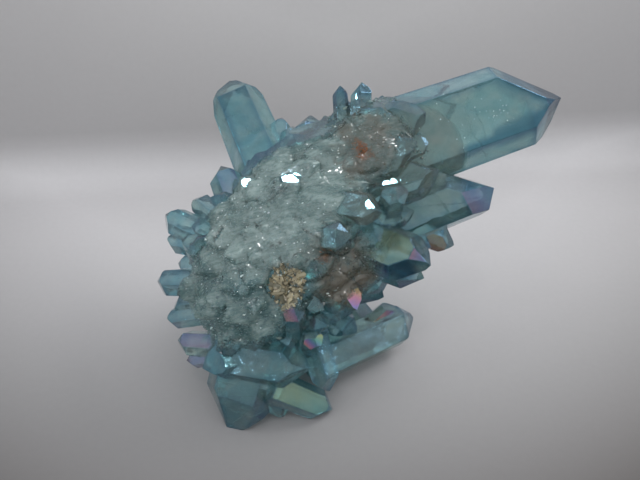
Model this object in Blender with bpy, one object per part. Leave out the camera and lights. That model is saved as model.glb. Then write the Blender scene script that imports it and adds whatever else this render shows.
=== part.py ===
"""Aqua aura quartz cluster: one natural piece of intergrown quartz points.

The points grew together, so they are united into one solid. Every point is cut
as a lapidary would read a quartz crystal: six prism faces that always meet at
60 degrees, closed by six rhombohedral faces at 38.2 degrees to the long axis.
Only the distances of the faces from the axis differ from point to point.

Layout frame, in millimetres, used for every named point below:
    X  across the cluster, Y  up the plume towards the main point,
    Z  out of the frosted face.
The finished cluster is leaned back by REST_LEAN onto its lower points, cut flat
where those touch the surface, and moved so that the middle of its footprint
is the origin.
"""

import math
import random
from typing import NamedTuple

import bmesh
import bpy
from mathutils import Matrix, Vector, noise

MM = 0.001  # metres in one millimetre

# --- driving dimensions, millimetres and degrees ---------------------------
REST_LEAN = 50.0  # how far the frosted face leans back from lying flat
FACE_HEIGHT = 28.2  # height of the layout origin above the resting surface

LUMP = 1.2  # height of the swellings on the masses
SMALL_LUMP = 0.35  # height of the smaller swellings on them, as a share of LUMP
INSET = 0.93  # a mass's own surface lies this share of the way to where points end

RHOMB_ANGLE = 38.2  # quartz's rhombohedral faces, measured from the long axis
PRISM_TAPER = 1.4  # prism faces lean in a little towards the tip
FACE_SPREAD = 0.09  # how far a face's distance strays, as a share of it
TIP_SPREAD = 0.06  # how far the tip strays from the axis, as a share of width
MINOR_LAG = (0.04, 0.20)  # how far the three lesser tip faces stand back

# Ledges: low points that shingle the side of a mass that is turned outward.
LEDGE_HEADING = 15.0  # the way most ledges grow, from X towards Y
LEDGE_SWAY = 0.4  # how far one ledge's heading strays, in radians
LEDGE_PULL = (0.7, 2.4)  # how strongly a ledge leans over towards its heading
LEDGE_BIAS = 0.45  # share of that lean kept where the mass faces squarely outward
LEDGE_LENGTH = (6.0, 8.0)
LEDGE_WIDTH = (3.2, 6.2)
LEDGE_FLAT = (0.5, 0.9)
LEDGE_TURN = 25.0
LEDGE_RELIEF = (0.1, 0.7)  # how far a ledge's tip stands out of the mass
RIM_RELIEF = (0.5, 1.9)  # how much further it stands out at the mass's rim

# Points that radiate from the side of a mass that is turned away.
UNDER_REACH = (2.0, 4.0, 6.0, 8.0)  # how far their tips stand out, one at random
UNDER_SPREAD = 1.5
UNDER_RIM = 0.3  # share of that reach kept at the mass's rim
UNDER_ROOT = 2.0  # distance of their roots from the mass's centre
UNDER_WIDTH = 3.4
UNDER_STOUT = (0.25, 0.5)  # how much wider a point is for each millimetre of reach
UNDER_FLAT = (0.75, 1.0)

SPREAD_ANGLE = 88.0  # how far round a mass its points go, from the middle of its side
GOLDEN_ANGLE = 137.508

HOLLOW_CENTRE = (-5.0, -6.9, 6.3)  # the small pit in the frosted face
HOLLOW_SIZE = (4.6, 7.2, 5.6)


class Mass(NamedTuple):
    """One rounded lump of intergrown quartz that points are rooted in."""

    name: str
    centre: tuple
    size: tuple  # along, across and through
    heading: float  # the direction of its length, from X towards Y
    ledges: int  # low points lying over the side turned outward
    under: int  # points radiating from the side turned away


class Point(NamedTuple):
    """One quartz point, from a root inside the cluster to its tip."""

    name: str
    root: tuple
    tip: tuple
    width: float  # across the widest corners
    flat: float = 0.85  # thickness between the broad faces, against a regular hexagon
    turn: float = 0.0  # roll about the axis; at 0 a broad face looks out of the face
    apex: tuple = (0.0, 0.0)  # the apex's shift across and outward, as shares of width


CORE = Mass("core", (-4.0, -0.5, -5.0), (43.0, 27.0, 21.0), 44.0, 72, 14)
SHOULDER = Mass("shoulder", (8.0, 14.0, -3.0), (21.0, 15.0, 12.0), 24.0, 20, 8)
HEEL = Mass("heel", (-10.5, -15.5, -6.5), (19.0, 14.0, 12.5), 8.0, 14, 4)
BASE = Mass("base", (-5.5, -8.5, -16.0), (25.0, 21.0, 20.0), 20.0, 0, 24)

# --- the points that shape the outline, by hand ------------------------------
MAIN_POINTS = [
    Point("main", (-2.5, 10.0, -3.5), (37.7, 23.7, -1.2), 14.6, 0.62, 3, (-0.03, 0.0)),
    Point("main_back", (4.0, 14.5, -6.0), (22.6, 22.2, -5.0), 8.0, 0.8, 8),
    Point("collar_low", (2.4, 5.5, -2.0), (18.4, 10.9, 1.5), 7.6, 0.7, -10),
    Point("collar_mid", (1.0, 10.6, -3.0), (14.8, 14.8, 4.2), 8.0, 0.5, -6),
    Point("collar_top", (3.1, 14.2, -4.0), (16.2, 19.6, 3.2), 7.2, 0.5, 8),
]

RIGHT_POINTS = [
    Point("right", (9.6, 2.4, -9.0), (26.6, 9.2, 0.5), 9.8, 0.85, 20, (-0.12, 0.0)),
    Point("right_low", (14.1, 2.5, -8.0), (22.7, -0.6, -9.5), 5.4, 0.85, 30),
    Point("brow", (4.8, 0.6, -3.0), (16.8, -4.1, 4.0), 8.6, 0.8, -14),
    Point("brow_low", (4.0, -1.0, -6.0), (16.2, -5.8, 1.0), 6.2, 0.85, 5),
    Point("brow_back", (6.7, 0.0, -8.0), (18.2, -1.6, -6.0), 5.6, 0.85, 22),
    Point("knob", (10.5, 4.3, 2.0), (11.1, 7.7, 9.5), 4.6, 0.95, 20),
    Point("ledge_long", (-3.1, 6.4, 2.5), (9.3, 4.0, 7.5), 4.8, 0.7, -8),
    Point("ledge_short", (-4.6, 1.2, 3.0), (4.7, 0.3, 7.5), 4.4, 0.75, 14),
]

LOWER_POINTS = [
    Point("belly_right", (0.0, -3.6, -5.0), (10.3, -9.2, -3.5), 6.8, 0.85, 10),
    Point("belly_gleam", (0.8, -4.8, -3.0), (5.7, -11.0, 1.5), 5.2, 0.9, 24),
    Point("belly_under", (-1.3, -10.6, -6.0), (6.0, -15.2, -5.5), 5.0, 0.9, -16),
    Point("lower_right", (-1.5, -20.6, -9.5), (17.0, -14.1, -19.5), 7.6, 0.8, 12),
    Point("lower_right_bud", (6.9, -16.5, -14.0), (13.1, -11.5, -17.0), 4.2, 0.9, 30),
    Point("drop", (-1.3, -15.2, -3.0), (1.5, -24.7, -5.0), 5.2, 0.85, 26),
    Point("foot_right", (-7.8, -23.7, -5.0), (2.2, -28.6, -9.0), 5.4, 0.8, -8),
    Point("foot_middle", (-9.5, -22.1, -6.0), (-6.2, -29.6, -9.0), 5.0, 0.85, 20),
    Point("foot_left", (-11.2, -18.0, -8.8), (-15.1, -31.9, -7.2), 12.0, 0.85, 8),
    Point("keel", (-15.5, -18.4, -5.5), (-1.4, -20.2, -1.0), 8.6, 0.85, 6),
    Point("keel_left", (-9.0, -17.0, -6.0), (-19.0, -20.6, -3.6), 7.4, 0.85, 18),
]

LEFT_POINTS = [
    Point("left_low", (-15.4, -17.1, -5.0), (-24.0, -17.1, -9.5), 4.4, 0.85, 25),
    Point("left_low_under", (-15.6, -18.3, -6.0), (-22.4, -20.1, -9.0), 3.4, 0.9, 5),
    Point("left_mid", (-17.1, -11.4, -5.0), (-25.7, -13.3, -10.0), 3.8, 0.9, 12),
    Point("left_mid_high", (-17.1, -9.8, -5.0), (-24.3, -10.9, -9.0), 3.8, 0.9, 40),
    Point("left_tip", (-17.1, -6.8, -5.0), (-27.7, -7.3, -11.0), 5.2, 0.85, 30),
    Point("left_gap", (-17.1, -4.1, -5.0), (-23.8, -3.7, -9.0), 4.0, 0.9, 0),
    Point("left_high", (-17.2, 0.0, -6.0), (-26.5, 4.1, -11.0), 5.2, 0.85, 20),
    Point("left_high_low", (-17.2, -0.8, -6.0), (-25.8, 0.2, -11.5), 4.4, 0.85, 10),
    Point("left_crest", (-15.7, 2.5, -7.0), (-21.4, 7.2, -12.0), 4.2, 0.9, 35),
    Point("left_shoulder", (-13.5, 4.6, -7.0), (-17.0, 12.7, -12.0), 6.0, 0.85, 15),
]

TOP_POINTS = [
    Point("horn", (-7.0, 6.5, -9.0), (-16.5, 28.2, -18.0), 9.8, 0.8, 0),
    Point("horn_bud", (-7.6, 13.5, -10.0), (-6.8, 21.2, -15.0), 5.2, 0.85, 0),
    Point("horn_root", (-5.0, 13.3, -8.0), (-4.5, 19.4, -12.0), 4.2, 0.9, 20),
    Point("top_bud", (-1.6, 12.9, -4.0), (-1.8, 20.7, -7.5), 5.6, 0.85, 20),
    Point("top_bud_right", (1.6, 13.6, -3.0), (0.7, 20.3, -5.0), 4.8, 0.85, 40),
    Point("twin_left", (3.9, 14.2, -1.0), (3.0, 24.1, 0.0), 2.4, 0.9, 0),
    Point("twin_right", (6.3, 14.2, -1.0), (6.5, 24.6, 0.5), 3.6, 0.9, 30),
    Point("twin_saddle", (8.9, 14.5, -4.0), (10.0, 23.4, -4.0), 4.8, 0.9, 10),
    Point("twin_neck", (12.1, 14.5, -4.0), (13.4, 23.1, -4.0), 4.6, 0.9, 40),
]

# Low points that lie on the frosted face and break its surface.
FACE_POINTS = [
    Point("scale_triangle", (-4.3, -14.3, -2.0), (-4.2, -9.9, 5.6), 3.8, 0.9, 0),
    Point("scale_fern", (-2.4, -12.4, -2.0), (1.1, -13.1, 3.0), 3.4, 0.9, 10),
    Point("scale_spark", (-1.9, -16.9, -4.0), (-0.8, -14.9, 3.6), 3.2, 0.9, 20),
    Point("scale_grey", (-3.1, -5.5, 0.0), (-3.0, -2.7, 6.6), 2.8, 0.9, 30),
    Point("scale_blade", (-17.1, -7.1, -2.0), (-14.8, -10.1, 3.0), 4.2, 0.8, 0),
    Point("scale_round", (-13.5, -4.0, -2.0), (-11.1, -7.9, 5.0), 5.8, 0.8, 20),
    Point("scale_glint", (-8.8, 5.6, -3.0), (-12.5, 9.3, 0.5), 5.0, 0.8, 10),
    Point("plate_low", (-13.0, -1.9, -3.0), (-5.2, 0.6, 5.4), 7.0, 0.55, 8),
    Point("plate_mid", (-12.0, 2.6, -3.0), (-3.2, 4.8, 5.2), 7.0, 0.55, -6),
    Point("plate_high", (-9.0, 6.5, -4.0), (0.2, 9.3, 4.2), 6.8, 0.55, 10),
    Point("plate_top", (-7.0, 11.6, -7.0), (2.0, 14.2, 1.6), 6.4, 0.6, -4),
    Point("plate_left", (-13.7, -3.5, -4.0), (-22.7, 0.0, -5.5), 8.0, 0.6, 14),
]

# Stout points under the back of the cluster that carry it.
PROP_POINTS = [
    Point("prop_right", (0.0, -8.0, -14.0), (9.6, -19.0, -25.0), 8.4, 0.9, 10),
    Point("prop_back", (-2.0, -7.0, -14.0), (1.5, -13.4, -32.6), 8.0, 0.9, 0),
    Point("prop_left", (-8.0, -7.0, -13.0), (-14.0, -16.0, -29.0), 8.4, 0.9, 30),
]


# --- making one point ----------------------------------------------------------
def cut_away(mesh: bmesh.types.BMesh, place: Vector, normal: Vector) -> None:
    """Cuts off what lies beyond a plane and closes the cut with one flat face."""
    everything = mesh.verts[:] + mesh.edges[:] + mesh.faces[:]
    cut = bmesh.ops.bisect_plane(
        mesh, geom=everything, plane_co=place, plane_no=normal, clear_outer=True
    )
    rim = [part for part in cut["geom_cut"] if isinstance(part, bmesh.types.BMEdge)]
    if rim:
        bmesh.ops.holes_fill(mesh, edges=rim)


def face_normal(around: float, rise: float) -> Vector:
    """A unit normal at a compass angle around the axis and a rise towards the tip."""
    return Vector(
        (
            math.cos(around) * math.cos(rise),
            math.sin(around) * math.cos(rise),
            math.sin(rise),
        )
    )


def quartz_blank(length: float, point: Point, luck: random.Random):
    """A quartz point along +Z, its root at the origin, cut from a round blank."""
    width, flat = point.width, point.flat
    mesh = bmesh.new()
    bmesh.ops.create_cone(
        mesh,
        cap_ends=True,
        segments=12,
        radius1=width,
        radius2=width,
        depth=length + width,
    )
    bmesh.ops.translate(mesh, verts=mesh.verts, vec=(0, 0, (length + width) / 2))

    side = width / 2 * math.cos(math.radians(30))
    rhomb = math.radians(RHOMB_ANGLE)
    shoulder = length - side / math.tan(rhomb)
    tip = Vector(
        (
            (point.apex[0] + luck.uniform(-1, 1) * TIP_SPREAD) * width,
            (point.apex[1] + luck.uniform(-1, 1) * TIP_SPREAD * flat) * width,
            length,
        )
    )
    major = luck.randrange(2)
    for k in range(6):
        around = math.radians(90 + 60 * k)
        reach = side * (flat if k % 3 == 0 else 1.0)
        reach *= 1 + luck.uniform(-1, 1) * FACE_SPREAD
        outward = Vector((math.cos(around), math.sin(around), 0))
        cut_away(
            mesh,
            outward * reach + Vector((0, 0, shoulder)),
            face_normal(around, math.radians(PRISM_TAPER)),
        )
        lag = 0.0 if k % 2 == major else luck.uniform(*MINOR_LAG) * width
        cut_away(mesh, tip + Vector((0, 0, lag)), face_normal(around, rhomb))
    return mesh


def axis_frame(root: Vector, tip: Vector, turn: float) -> Matrix:
    """The matrix that lays a blank along root to tip, broad face out of the face."""
    along = (tip - root).normalized()
    out = Vector((0, 0, 1)) - along * along.z
    if out.length < 0.3:
        out = Vector((0, 1, 0)) - along * along.y
    out.normalize()
    across = out.cross(along)
    frame = Matrix((across, out, along)).transposed().to_4x4()
    roll = Matrix.Rotation(math.radians(turn), 4, "Z")
    return Matrix.Translation(root) @ frame @ roll


def make_object(name: str, mesh: bmesh.types.BMesh, home) -> bpy.types.Object:
    """Turns a bmesh into a named object in a collection."""
    bmesh.ops.recalc_face_normals(mesh, faces=mesh.faces)
    data = bpy.data.meshes.new(name)
    mesh.to_mesh(data)
    mesh.free()
    made = bpy.data.objects.new(name, data)
    home.objects.link(made)
    return made


def make_point(point: Point, home) -> bpy.types.Object:
    """One quartz point in the layout frame. Its name seeds its small differences."""
    root, tip = Vector(point.root), Vector(point.tip)
    luck = random.Random(point.name)
    mesh = quartz_blank((tip - root).length, point, luck)
    bmesh.ops.transform(
        mesh, matrix=axis_frame(root, tip, point.turn), verts=mesh.verts
    )
    return make_object(point.name, mesh, home)


# --- the masses and what covers them -------------------------------------------
def mass_axes(mass: Mass) -> Matrix:
    """A mass's own axes in the layout frame: along, across and outward."""
    return Matrix.Rotation(math.radians(mass.heading), 3, "Z")


def mass_surface(mass: Mass, direction: Vector) -> Vector:
    """The spot on a mass's surface seen from its centre in one direction."""
    own = mass_axes(mass).transposed() @ direction
    reach = 1 / math.sqrt(sum((2 * c / size) ** 2 for c, size in zip(own, mass.size)))
    return Vector(mass.centre) + direction * reach


def make_mass(mass: Mass, home) -> bpy.types.Object:
    """One lump, its surface swollen and sunk a little."""
    mesh = bmesh.new()
    fineness = 3 if mass is CORE else 2
    bmesh.ops.create_icosphere(mesh, subdivisions=fineness, radius=1.0)
    for vert in mesh.verts:
        direction = vert.co.normalized()
        lump = noise.noise(direction * 2.3) * LUMP
        lump += noise.noise(direction * 6.1) * LUMP * SMALL_LUMP
        reach = (mass_surface(mass, direction) - Vector(mass.centre)) * INSET
        vert.co = Vector(mass.centre) + reach + direction * lump
    return make_object(mass.name, mesh, home)


def spread_direction(mass: Mass, i: int, count: int, side: float) -> Vector:
    """The i-th of many directions spread evenly about one side of a mass."""
    away = math.radians(SPREAD_ANGLE) * math.sqrt((i + 0.5) / count)
    around = math.radians(GOLDEN_ANGLE * i)
    own = Vector(
        (
            math.sin(away) * math.cos(around),
            math.sin(away) * math.sin(around),
            side * math.cos(away),
        )
    )
    return (mass_axes(mass) @ own).normalized()


def ledge_points(mass: Mass) -> list:
    """Low points that shingle a mass's face. Near its rim they turn outward."""
    luck = random.Random(mass.name + "_ledges")
    heading = math.radians(LEDGE_HEADING)
    points = []
    for i in range(mass.ledges):
        outward = spread_direction(mass, i, mass.ledges, 1.0)
        sway = heading + luck.gauss(0, LEDGE_SWAY)
        along = Vector((math.cos(sway), math.sin(sway), 0))
        pull = (outward.dot(along) + LEDGE_BIAS) * luck.uniform(*LEDGE_PULL)
        growth = (along * pull + outward).normalized()
        stands_out = luck.uniform(*LEDGE_RELIEF)
        stands_out += (1 - outward.z) * luck.uniform(*RIM_RELIEF)
        tip = mass_surface(mass, outward) + outward * stands_out
        points.append(
            Point(
                f"{mass.name}_ledge_{i:02d}",
                tuple(tip - growth * luck.uniform(*LEDGE_LENGTH)),
                tuple(tip),
                luck.uniform(*LEDGE_WIDTH),
                luck.uniform(*LEDGE_FLAT),
                luck.uniform(-LEDGE_TURN, LEDGE_TURN),
            )
        )
    return points


def underside_points(mass: Mass) -> list:
    """Points that radiate from a mass's back, shorter towards its rim."""
    luck = random.Random(mass.name + "_under")
    points = []
    for i in range(mass.under):
        outward = spread_direction(mass, i, mass.under, -1.0)
        stands_out = luck.choice(UNDER_REACH) + luck.uniform(0, UNDER_SPREAD)
        stands_out *= max(UNDER_RIM, -outward.z)
        tip = mass_surface(mass, outward) + outward * stands_out
        points.append(
            Point(
                f"{mass.name}_under_{i:02d}",
                tuple(Vector(mass.centre) + outward * UNDER_ROOT),
                tuple(tip),
                UNDER_WIDTH + stands_out * luck.uniform(*UNDER_STOUT),
                luck.uniform(*UNDER_FLAT),
                luck.uniform(0, 60),
            )
        )
    return points


def make_hollow(home) -> bpy.types.Object:
    """The rough pit cut into the frosted face."""
    mesh = bmesh.new()
    bmesh.ops.create_icosphere(mesh, subdivisions=2, radius=0.5)
    for vert in mesh.verts:
        rough = 1 + noise.noise(vert.co * 7.0) * 0.35
        shape = Vector([c * size for c, size in zip(vert.co * rough, HOLLOW_SIZE)])
        vert.co = shape + Vector(HOLLOW_CENTRE)
    return make_object("hollow", mesh, home)


# --- joining, resting and finishing ----------------------------------------------
def rest_matrix() -> Matrix:
    """Leans the layout frame back onto its lower points, in metres."""
    lean = Matrix.Rotation(math.radians(REST_LEAN), 4, "X")
    lift = Matrix.Translation((0, 0, FACE_HEIGHT))
    return Matrix.Scale(MM, 4) @ lift @ lean


def cut_by(core: bpy.types.Object, tool: bpy.types.Object) -> None:
    """Adds a Boolean that takes a tool's shape out of the cluster."""
    cut = core.modifiers.new(tool.name, "BOOLEAN")
    cut.operation = "DIFFERENCE"
    cut.object = tool
    cut.solver = "EXACT"


def unite(core, points, cutters, rest: Matrix) -> None:
    """Joins every point to the core, then cuts the pit and the resting surface."""
    join = core.modifiers.new("points", "BOOLEAN")
    join.operation = "UNION"
    join.operand_type = "COLLECTION"
    join.collection = points
    join.solver = "EXACT"

    hollow = make_hollow(cutters)
    hollow.data.transform(rest)
    cut_by(core, hollow)

    mesh = bmesh.new()
    bmesh.ops.create_cube(mesh, size=0.2)
    bmesh.ops.translate(mesh, verts=mesh.verts, vec=(0, 0, -0.1))
    cut_by(core, make_object("resting_surface", mesh, cutters))


def keep_body(data: bpy.types.Mesh) -> None:
    """Keeps the one outer body and drops closed pockets and chips cut loose."""
    mesh = bmesh.new()
    mesh.from_mesh(data)
    left = set(mesh.verts)
    shells = []
    while left:
        shell = {left.pop()}
        edge = list(shell)
        while edge:
            near = [link.other_vert(vert) for vert in edge for link in vert.link_edges]
            edge = [vert for vert in set(near) if vert in left]
            left.difference_update(edge)
            shell.update(edge)
        shells.append(shell)
    shells.sort(key=len)
    for shell in shells[:-1]:
        bmesh.ops.delete(mesh, geom=list(shell), context="VERTS")
    mesh.to_mesh(data)
    mesh.free()


def centre_footprint(made: bpy.types.Object) -> None:
    """Moves the cluster so that the middle of its footprint is the origin."""
    spots = [made.matrix_world @ vert.co for vert in made.data.vertices]
    low = [min(spot[axis] for spot in spots) for axis in range(3)]
    high = [max(spot[axis] for spot in spots) for axis in range(3)]
    middle = Vector(((low[0] + high[0]) / 2, (low[1] + high[1]) / 2, low[2]))
    made.data.transform(Matrix.Translation(-middle))


def aqua_aura() -> bpy.types.Material:
    """Clear quartz under a thin sea-blue metal film."""
    material = bpy.data.materials.new("aqua_aura_quartz")
    material.use_nodes = True
    shader = material.node_tree.nodes["Principled BSDF"]
    shader.inputs["Base Color"].default_value = (0.19, 0.42, 0.44, 1.0)
    shader.inputs["Roughness"].default_value = 0.12
    shader.inputs["Metallic"].default_value = 0.0
    shader.inputs["Transmission Weight"].default_value = 0.6
    shader.inputs["IOR"].default_value = 1.544
    return material


def new_collection(name: str, hidden: bool) -> bpy.types.Collection:
    """A collection in the scene. A hidden one holds what only shapes the cluster."""
    made = bpy.data.collections.new(name)
    bpy.context.scene.collection.children.link(made)
    made.hide_render = hidden
    return made


def main() -> None:
    """Builds the cluster as one named object."""
    for old in list(bpy.data.objects):
        bpy.data.objects.remove(old)

    home = new_collection("aqua_aura_quartz", False)
    loose = new_collection("loose_points", True)
    cutters = new_collection("cutters", True)

    named = MAIN_POINTS + RIGHT_POINTS + LOWER_POINTS + LEFT_POINTS + TOP_POINTS
    named += FACE_POINTS + PROP_POINTS
    for mass in (CORE, SHOULDER, HEEL, BASE):
        named += ledge_points(mass) + underside_points(mass)
    grown = [make_point(point, loose) for point in named]
    grown += [make_mass(mass, loose) for mass in (SHOULDER, HEEL, BASE)]
    core = make_mass(CORE, cutters)
    rest = rest_matrix()
    for made in grown + [core]:
        made.data.transform(rest)
    unite(core, loose, cutters, rest)

    bpy.context.view_layer.update()
    graph = bpy.context.evaluated_depsgraph_get()
    joined = bpy.data.meshes.new_from_object(core.evaluated_get(graph))
    cluster = bpy.data.objects.new("crystal_cluster", joined)
    home.objects.link(cluster)
    keep_body(cluster.data)
    centre_footprint(cluster)
    cluster.data.materials.clear()
    cluster.data.materials.append(aqua_aura())
    for helper in list(loose.objects) + list(cutters.objects):
        helper.hide_render = True
        helper.display_type = "WIRE"


main()
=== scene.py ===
"""The looks of the aqua aura quartz cluster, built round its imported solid.

The cluster's own surface is refined from the solid: bevelled, split finely, and
lumped where it is sugary. A frosted crust, druse, stains, plates of thick film and
inner veils are grown on and in it. Lengths in the tables are millimetres in the
cluster's layout frame, which leans back from the row frame: X across, Y up the
plume of points towards the main one, and Z out of the frosted face.
"""

import logging
import math
from dataclasses import dataclass, field
from enum import Enum
from typing import ClassVar

import bmesh
import bpy
import numpy as np
from mathutils import Matrix, Vector, bvhtree, kdtree, noise

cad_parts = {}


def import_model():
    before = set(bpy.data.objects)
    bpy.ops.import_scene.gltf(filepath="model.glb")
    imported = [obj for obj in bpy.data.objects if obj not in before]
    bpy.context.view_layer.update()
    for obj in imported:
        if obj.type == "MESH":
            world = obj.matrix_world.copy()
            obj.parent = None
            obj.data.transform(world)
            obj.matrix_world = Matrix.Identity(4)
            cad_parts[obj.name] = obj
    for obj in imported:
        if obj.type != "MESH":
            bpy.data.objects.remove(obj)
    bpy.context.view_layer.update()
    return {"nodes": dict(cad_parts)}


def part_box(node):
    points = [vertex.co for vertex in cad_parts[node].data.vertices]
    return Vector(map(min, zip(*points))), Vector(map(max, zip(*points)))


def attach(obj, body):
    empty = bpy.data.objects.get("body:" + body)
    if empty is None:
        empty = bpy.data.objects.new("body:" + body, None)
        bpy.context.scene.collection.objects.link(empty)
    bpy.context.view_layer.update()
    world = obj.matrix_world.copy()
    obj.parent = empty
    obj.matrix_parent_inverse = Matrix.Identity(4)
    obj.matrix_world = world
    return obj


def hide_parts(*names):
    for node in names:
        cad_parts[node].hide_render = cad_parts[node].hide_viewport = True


LOG = logging.getLogger("aqua_aura")

MM = 0.001
ROOT = "root"
NODE = "crystal_cluster"

Colour = tuple[float, float, float]
Spot = tuple[float, float, float]
Pair = tuple[float, float]
Socket = bpy.types.NodeSocket

AQUA_TINT: Colour = (0.20, 0.42, 0.42)
QUARTZ_IOR = 1.544


# --- frames and fields ------------------------------------------------------------
@dataclass(frozen=True)
class Layout:
    """Where the cluster's layout frame stands in the row frame.

    Attributes:
        origin: The layout's origin, in millimetres in the row frame.
        lean: How far it leans back, in degrees.
    """

    origin: Spot = (-5.25, -8.30, 28.20)
    lean: float = 50.0

    def matrix(self) -> np.ndarray:
        """The rotation from the layout frame to the row frame."""
        turn = math.radians(self.lean)
        cosine, sine = math.cos(turn), math.sin(turn)
        return np.array([[1, 0, 0], [0, cosine, -sine], [0, sine, cosine]])

    def to_row(self, spots: np.ndarray) -> np.ndarray:
        """Layout spots in millimetres as row spots in metres."""
        return (spots @ self.matrix().T + np.array(self.origin)) * MM

    def to_layout(self, spots: np.ndarray) -> np.ndarray:
        """Row spots in metres as layout spots in millimetres."""
        return (spots / MM - np.array(self.origin)) @ self.matrix()


LAYOUT = Layout()


@dataclass(frozen=True)
class Lump:
    """One rounded mass of intergrown quartz under the points.

    Attributes:
        centre: Its middle, in the layout frame.
        size: Its length, breadth and depth.
        heading: The direction of its length, in degrees from X towards Y.
        sugar: How sugary its own surface is, from 0 to 1.
    """

    centre: Spot
    size: Spot
    heading: float
    sugar: float

    def outside(self, spots: np.ndarray) -> np.ndarray:
        """How far layout spots lie outside the lump, in millimetres."""
        turn = math.radians(self.heading)
        cosine, sine = math.cos(turn), math.sin(turn)
        gap = spots - np.array(self.centre)
        own = np.stack(
            [
                gap[:, 0] * cosine + gap[:, 1] * sine,
                gap[:, 1] * cosine - gap[:, 0] * sine,
                gap[:, 2],
            ],
            axis=1,
        )
        half = np.array(self.size) / 2
        near = np.linalg.norm(own / half, axis=1)
        steep = np.linalg.norm(own / half**2, axis=1)
        return near * (near - 1) / np.maximum(steep, 1e-6)


# The masses that the points grow from.
LUMPS = (
    Lump((-4.0, -0.5, -5.0), (43.0, 27.0, 21.0), 44.0, 0.45),
    Lump((8.0, 14.0, -3.0), (21.0, 15.0, 12.0), 24.0, 0.5),
    Lump((-10.5, -15.5, -6.5), (19.0, 14.0, 12.5), 8.0, 0.25),
    Lump((-5.5, -8.5, -16.0), (25.0, 21.0, 20.0), 20.0, 0.5),
)
# Where the frosted crust lies on them.
CROWNS = (
    Lump((-5.8, 4.2, 3.0), (31.0, 20.0, 16.0), 38.0, 1.0),
    Lump((6.5, 13.5, 1.5), (18.0, 13.0, 14.0), 30.0, 0.72),
    Lump((-12.0, -7.5, 0.0), (25.0, 20.0, 20.0), 25.0, 0.60),
    Lump((3.5, -4.0, 2.0), (17.0, 14.0, 13.0), 10.0, 0.52),
)


def smooth(value: np.ndarray, low: float, high: float) -> np.ndarray:
    """A soft step from 0 at low to 1 at high."""
    t = np.clip((value - low) / (high - low), 0.0, 1.0)
    return t * t * (3 - 2 * t)


def ripple(spots: np.ndarray, scale: float, offset: float = 0.0) -> np.ndarray:
    """Smooth noise from -1 to 1 at each spot.

    Args:
        spots: Layout spots in millimetres.
        scale: Waves a millimetre.
        offset: Shifts the pattern, so that two with one scale differ.

    Returns:
        One value for each spot.
    """
    shift = Vector((offset, offset * 0.7, -offset))
    return np.array([noise.noise(Vector(spot) * scale + shift) for spot in spots])


@dataclass(frozen=True)
class Patch:
    """A soft-edged ball in which something colours the quartz.

    Attributes:
        centre: Its middle, in the layout frame.
        radius: Where it has half its strength.
        edge: How wide its soft edge is.
        strength: Its most, from 0 to 1.
        ragged: How far noise moves the edge.
    """

    centre: Spot
    radius: float
    edge: float
    strength: float
    ragged: float = 0.0

    def at(self, spots: np.ndarray) -> np.ndarray:
        """The patch's strength at layout spots."""
        reach = np.linalg.norm(spots - np.array(self.centre), axis=1)
        if self.ragged:
            reach = reach + ripple(spots, 0.55, 3.1) * self.ragged
            reach = reach + ripple(spots, 1.7, 7.7) * self.ragged * 0.5
        low, high = self.radius - self.edge / 2, self.radius + self.edge / 2
        return self.strength * (1 - smooth(reach, low, high))


@dataclass(frozen=True)
class Band:
    """A soft stripe on the faces that look out along the layout's Z.

    Attributes:
        start: One end, across and up the layout.
        end: The other end.
        radius: Half its width.
        strength: Its most, from 0 to 1.
        floor: The least height at which it shows.
    """

    start: Pair
    end: Pair
    radius: float
    strength: float
    floor: float = -2.0

    def at(self, spots: np.ndarray) -> np.ndarray:
        """The band's strength at layout spots."""
        start, run = np.array(self.start), np.array(self.end) - np.array(self.start)
        share = np.clip((spots[:, :2] - start) @ run / (run @ run), 0.0, 1.0)
        gap = np.linalg.norm(spots[:, :2] - start - share[:, None] * run, axis=1)
        shown = smooth(spots[:, 2], self.floor - 0.6, self.floor + 0.6)
        return self.strength * shown * (1 - smooth(gap, self.radius * 0.4, self.radius * 1.3))


def strongest(patches: tuple, spots: np.ndarray) -> np.ndarray:
    """The strongest of several patches at each spot."""
    return np.max([patch.at(spots) for patch in patches], axis=0)


# Cloudy quartz just under the faces.
HAZE = (
    Patch((13.9, 11.4, 1.5), 9.0, 0.8, 0.48, 0.25),
    Patch((4.0, 13.0, 0.0), 8.0, 5.0, 0.55, 1.0),
    Patch((4.5, 5.0, 7.0), 4.6, 2.5, 0.75, 1.0),
    Patch((1.5, 1.0, 7.0), 3.6, 2.5, 0.55, 1.0),
    Patch((18.5, 17.5, 3.0), 4.6, 3.0, 0.35, 1.6),
    Patch((11.9, 0.2, 3.5), 2.2, 2.0, 0.58, 0.8),
    Patch((0.5, -0.8, 7.0), 2.4, 2.0, 0.30, 0.8),
    Patch((-13.0, -24.6, -4.0), 4.0, 3.0, 0.22, 1.2),
    Patch((9.5, -16.6, -12.0), 6.5, 4.0, 0.70, 1.4),
)
# Brown clay stains.
STAIN = (
    Patch((7.8, 14.2, 3.0), 5.2, 5.0, 0.78, 3.4),
    Patch((12.6, 11.2, 2.0), 4.2, 4.0, 0.45, 2.0),
    Patch((0.6, -2.4, 5.5), 3.0, 3.0, 0.50, 1.2),
    Patch((4.6, 17.6, 3.0), 1.3, 1.4, 0.8, 1.0),
    Patch((4.0, -5.5, 2.0), 5.4, 4.0, 0.85, 1.4),
    Patch((12.0, 17.6, 2.0), 3.4, 4.0, 0.45, 1.6),
    Patch((-5.0, -6.9, 5.0), 3.4, 2.4, 0.5, 0.9),
    Patch((-1.5, -11.0, 3.0), 2.6, 2.0, 0.3, 0.9),
    Patch((-9.0, -12.0, -17.0), 8.0, 8.0, 0.25, 2.0),
)
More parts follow.
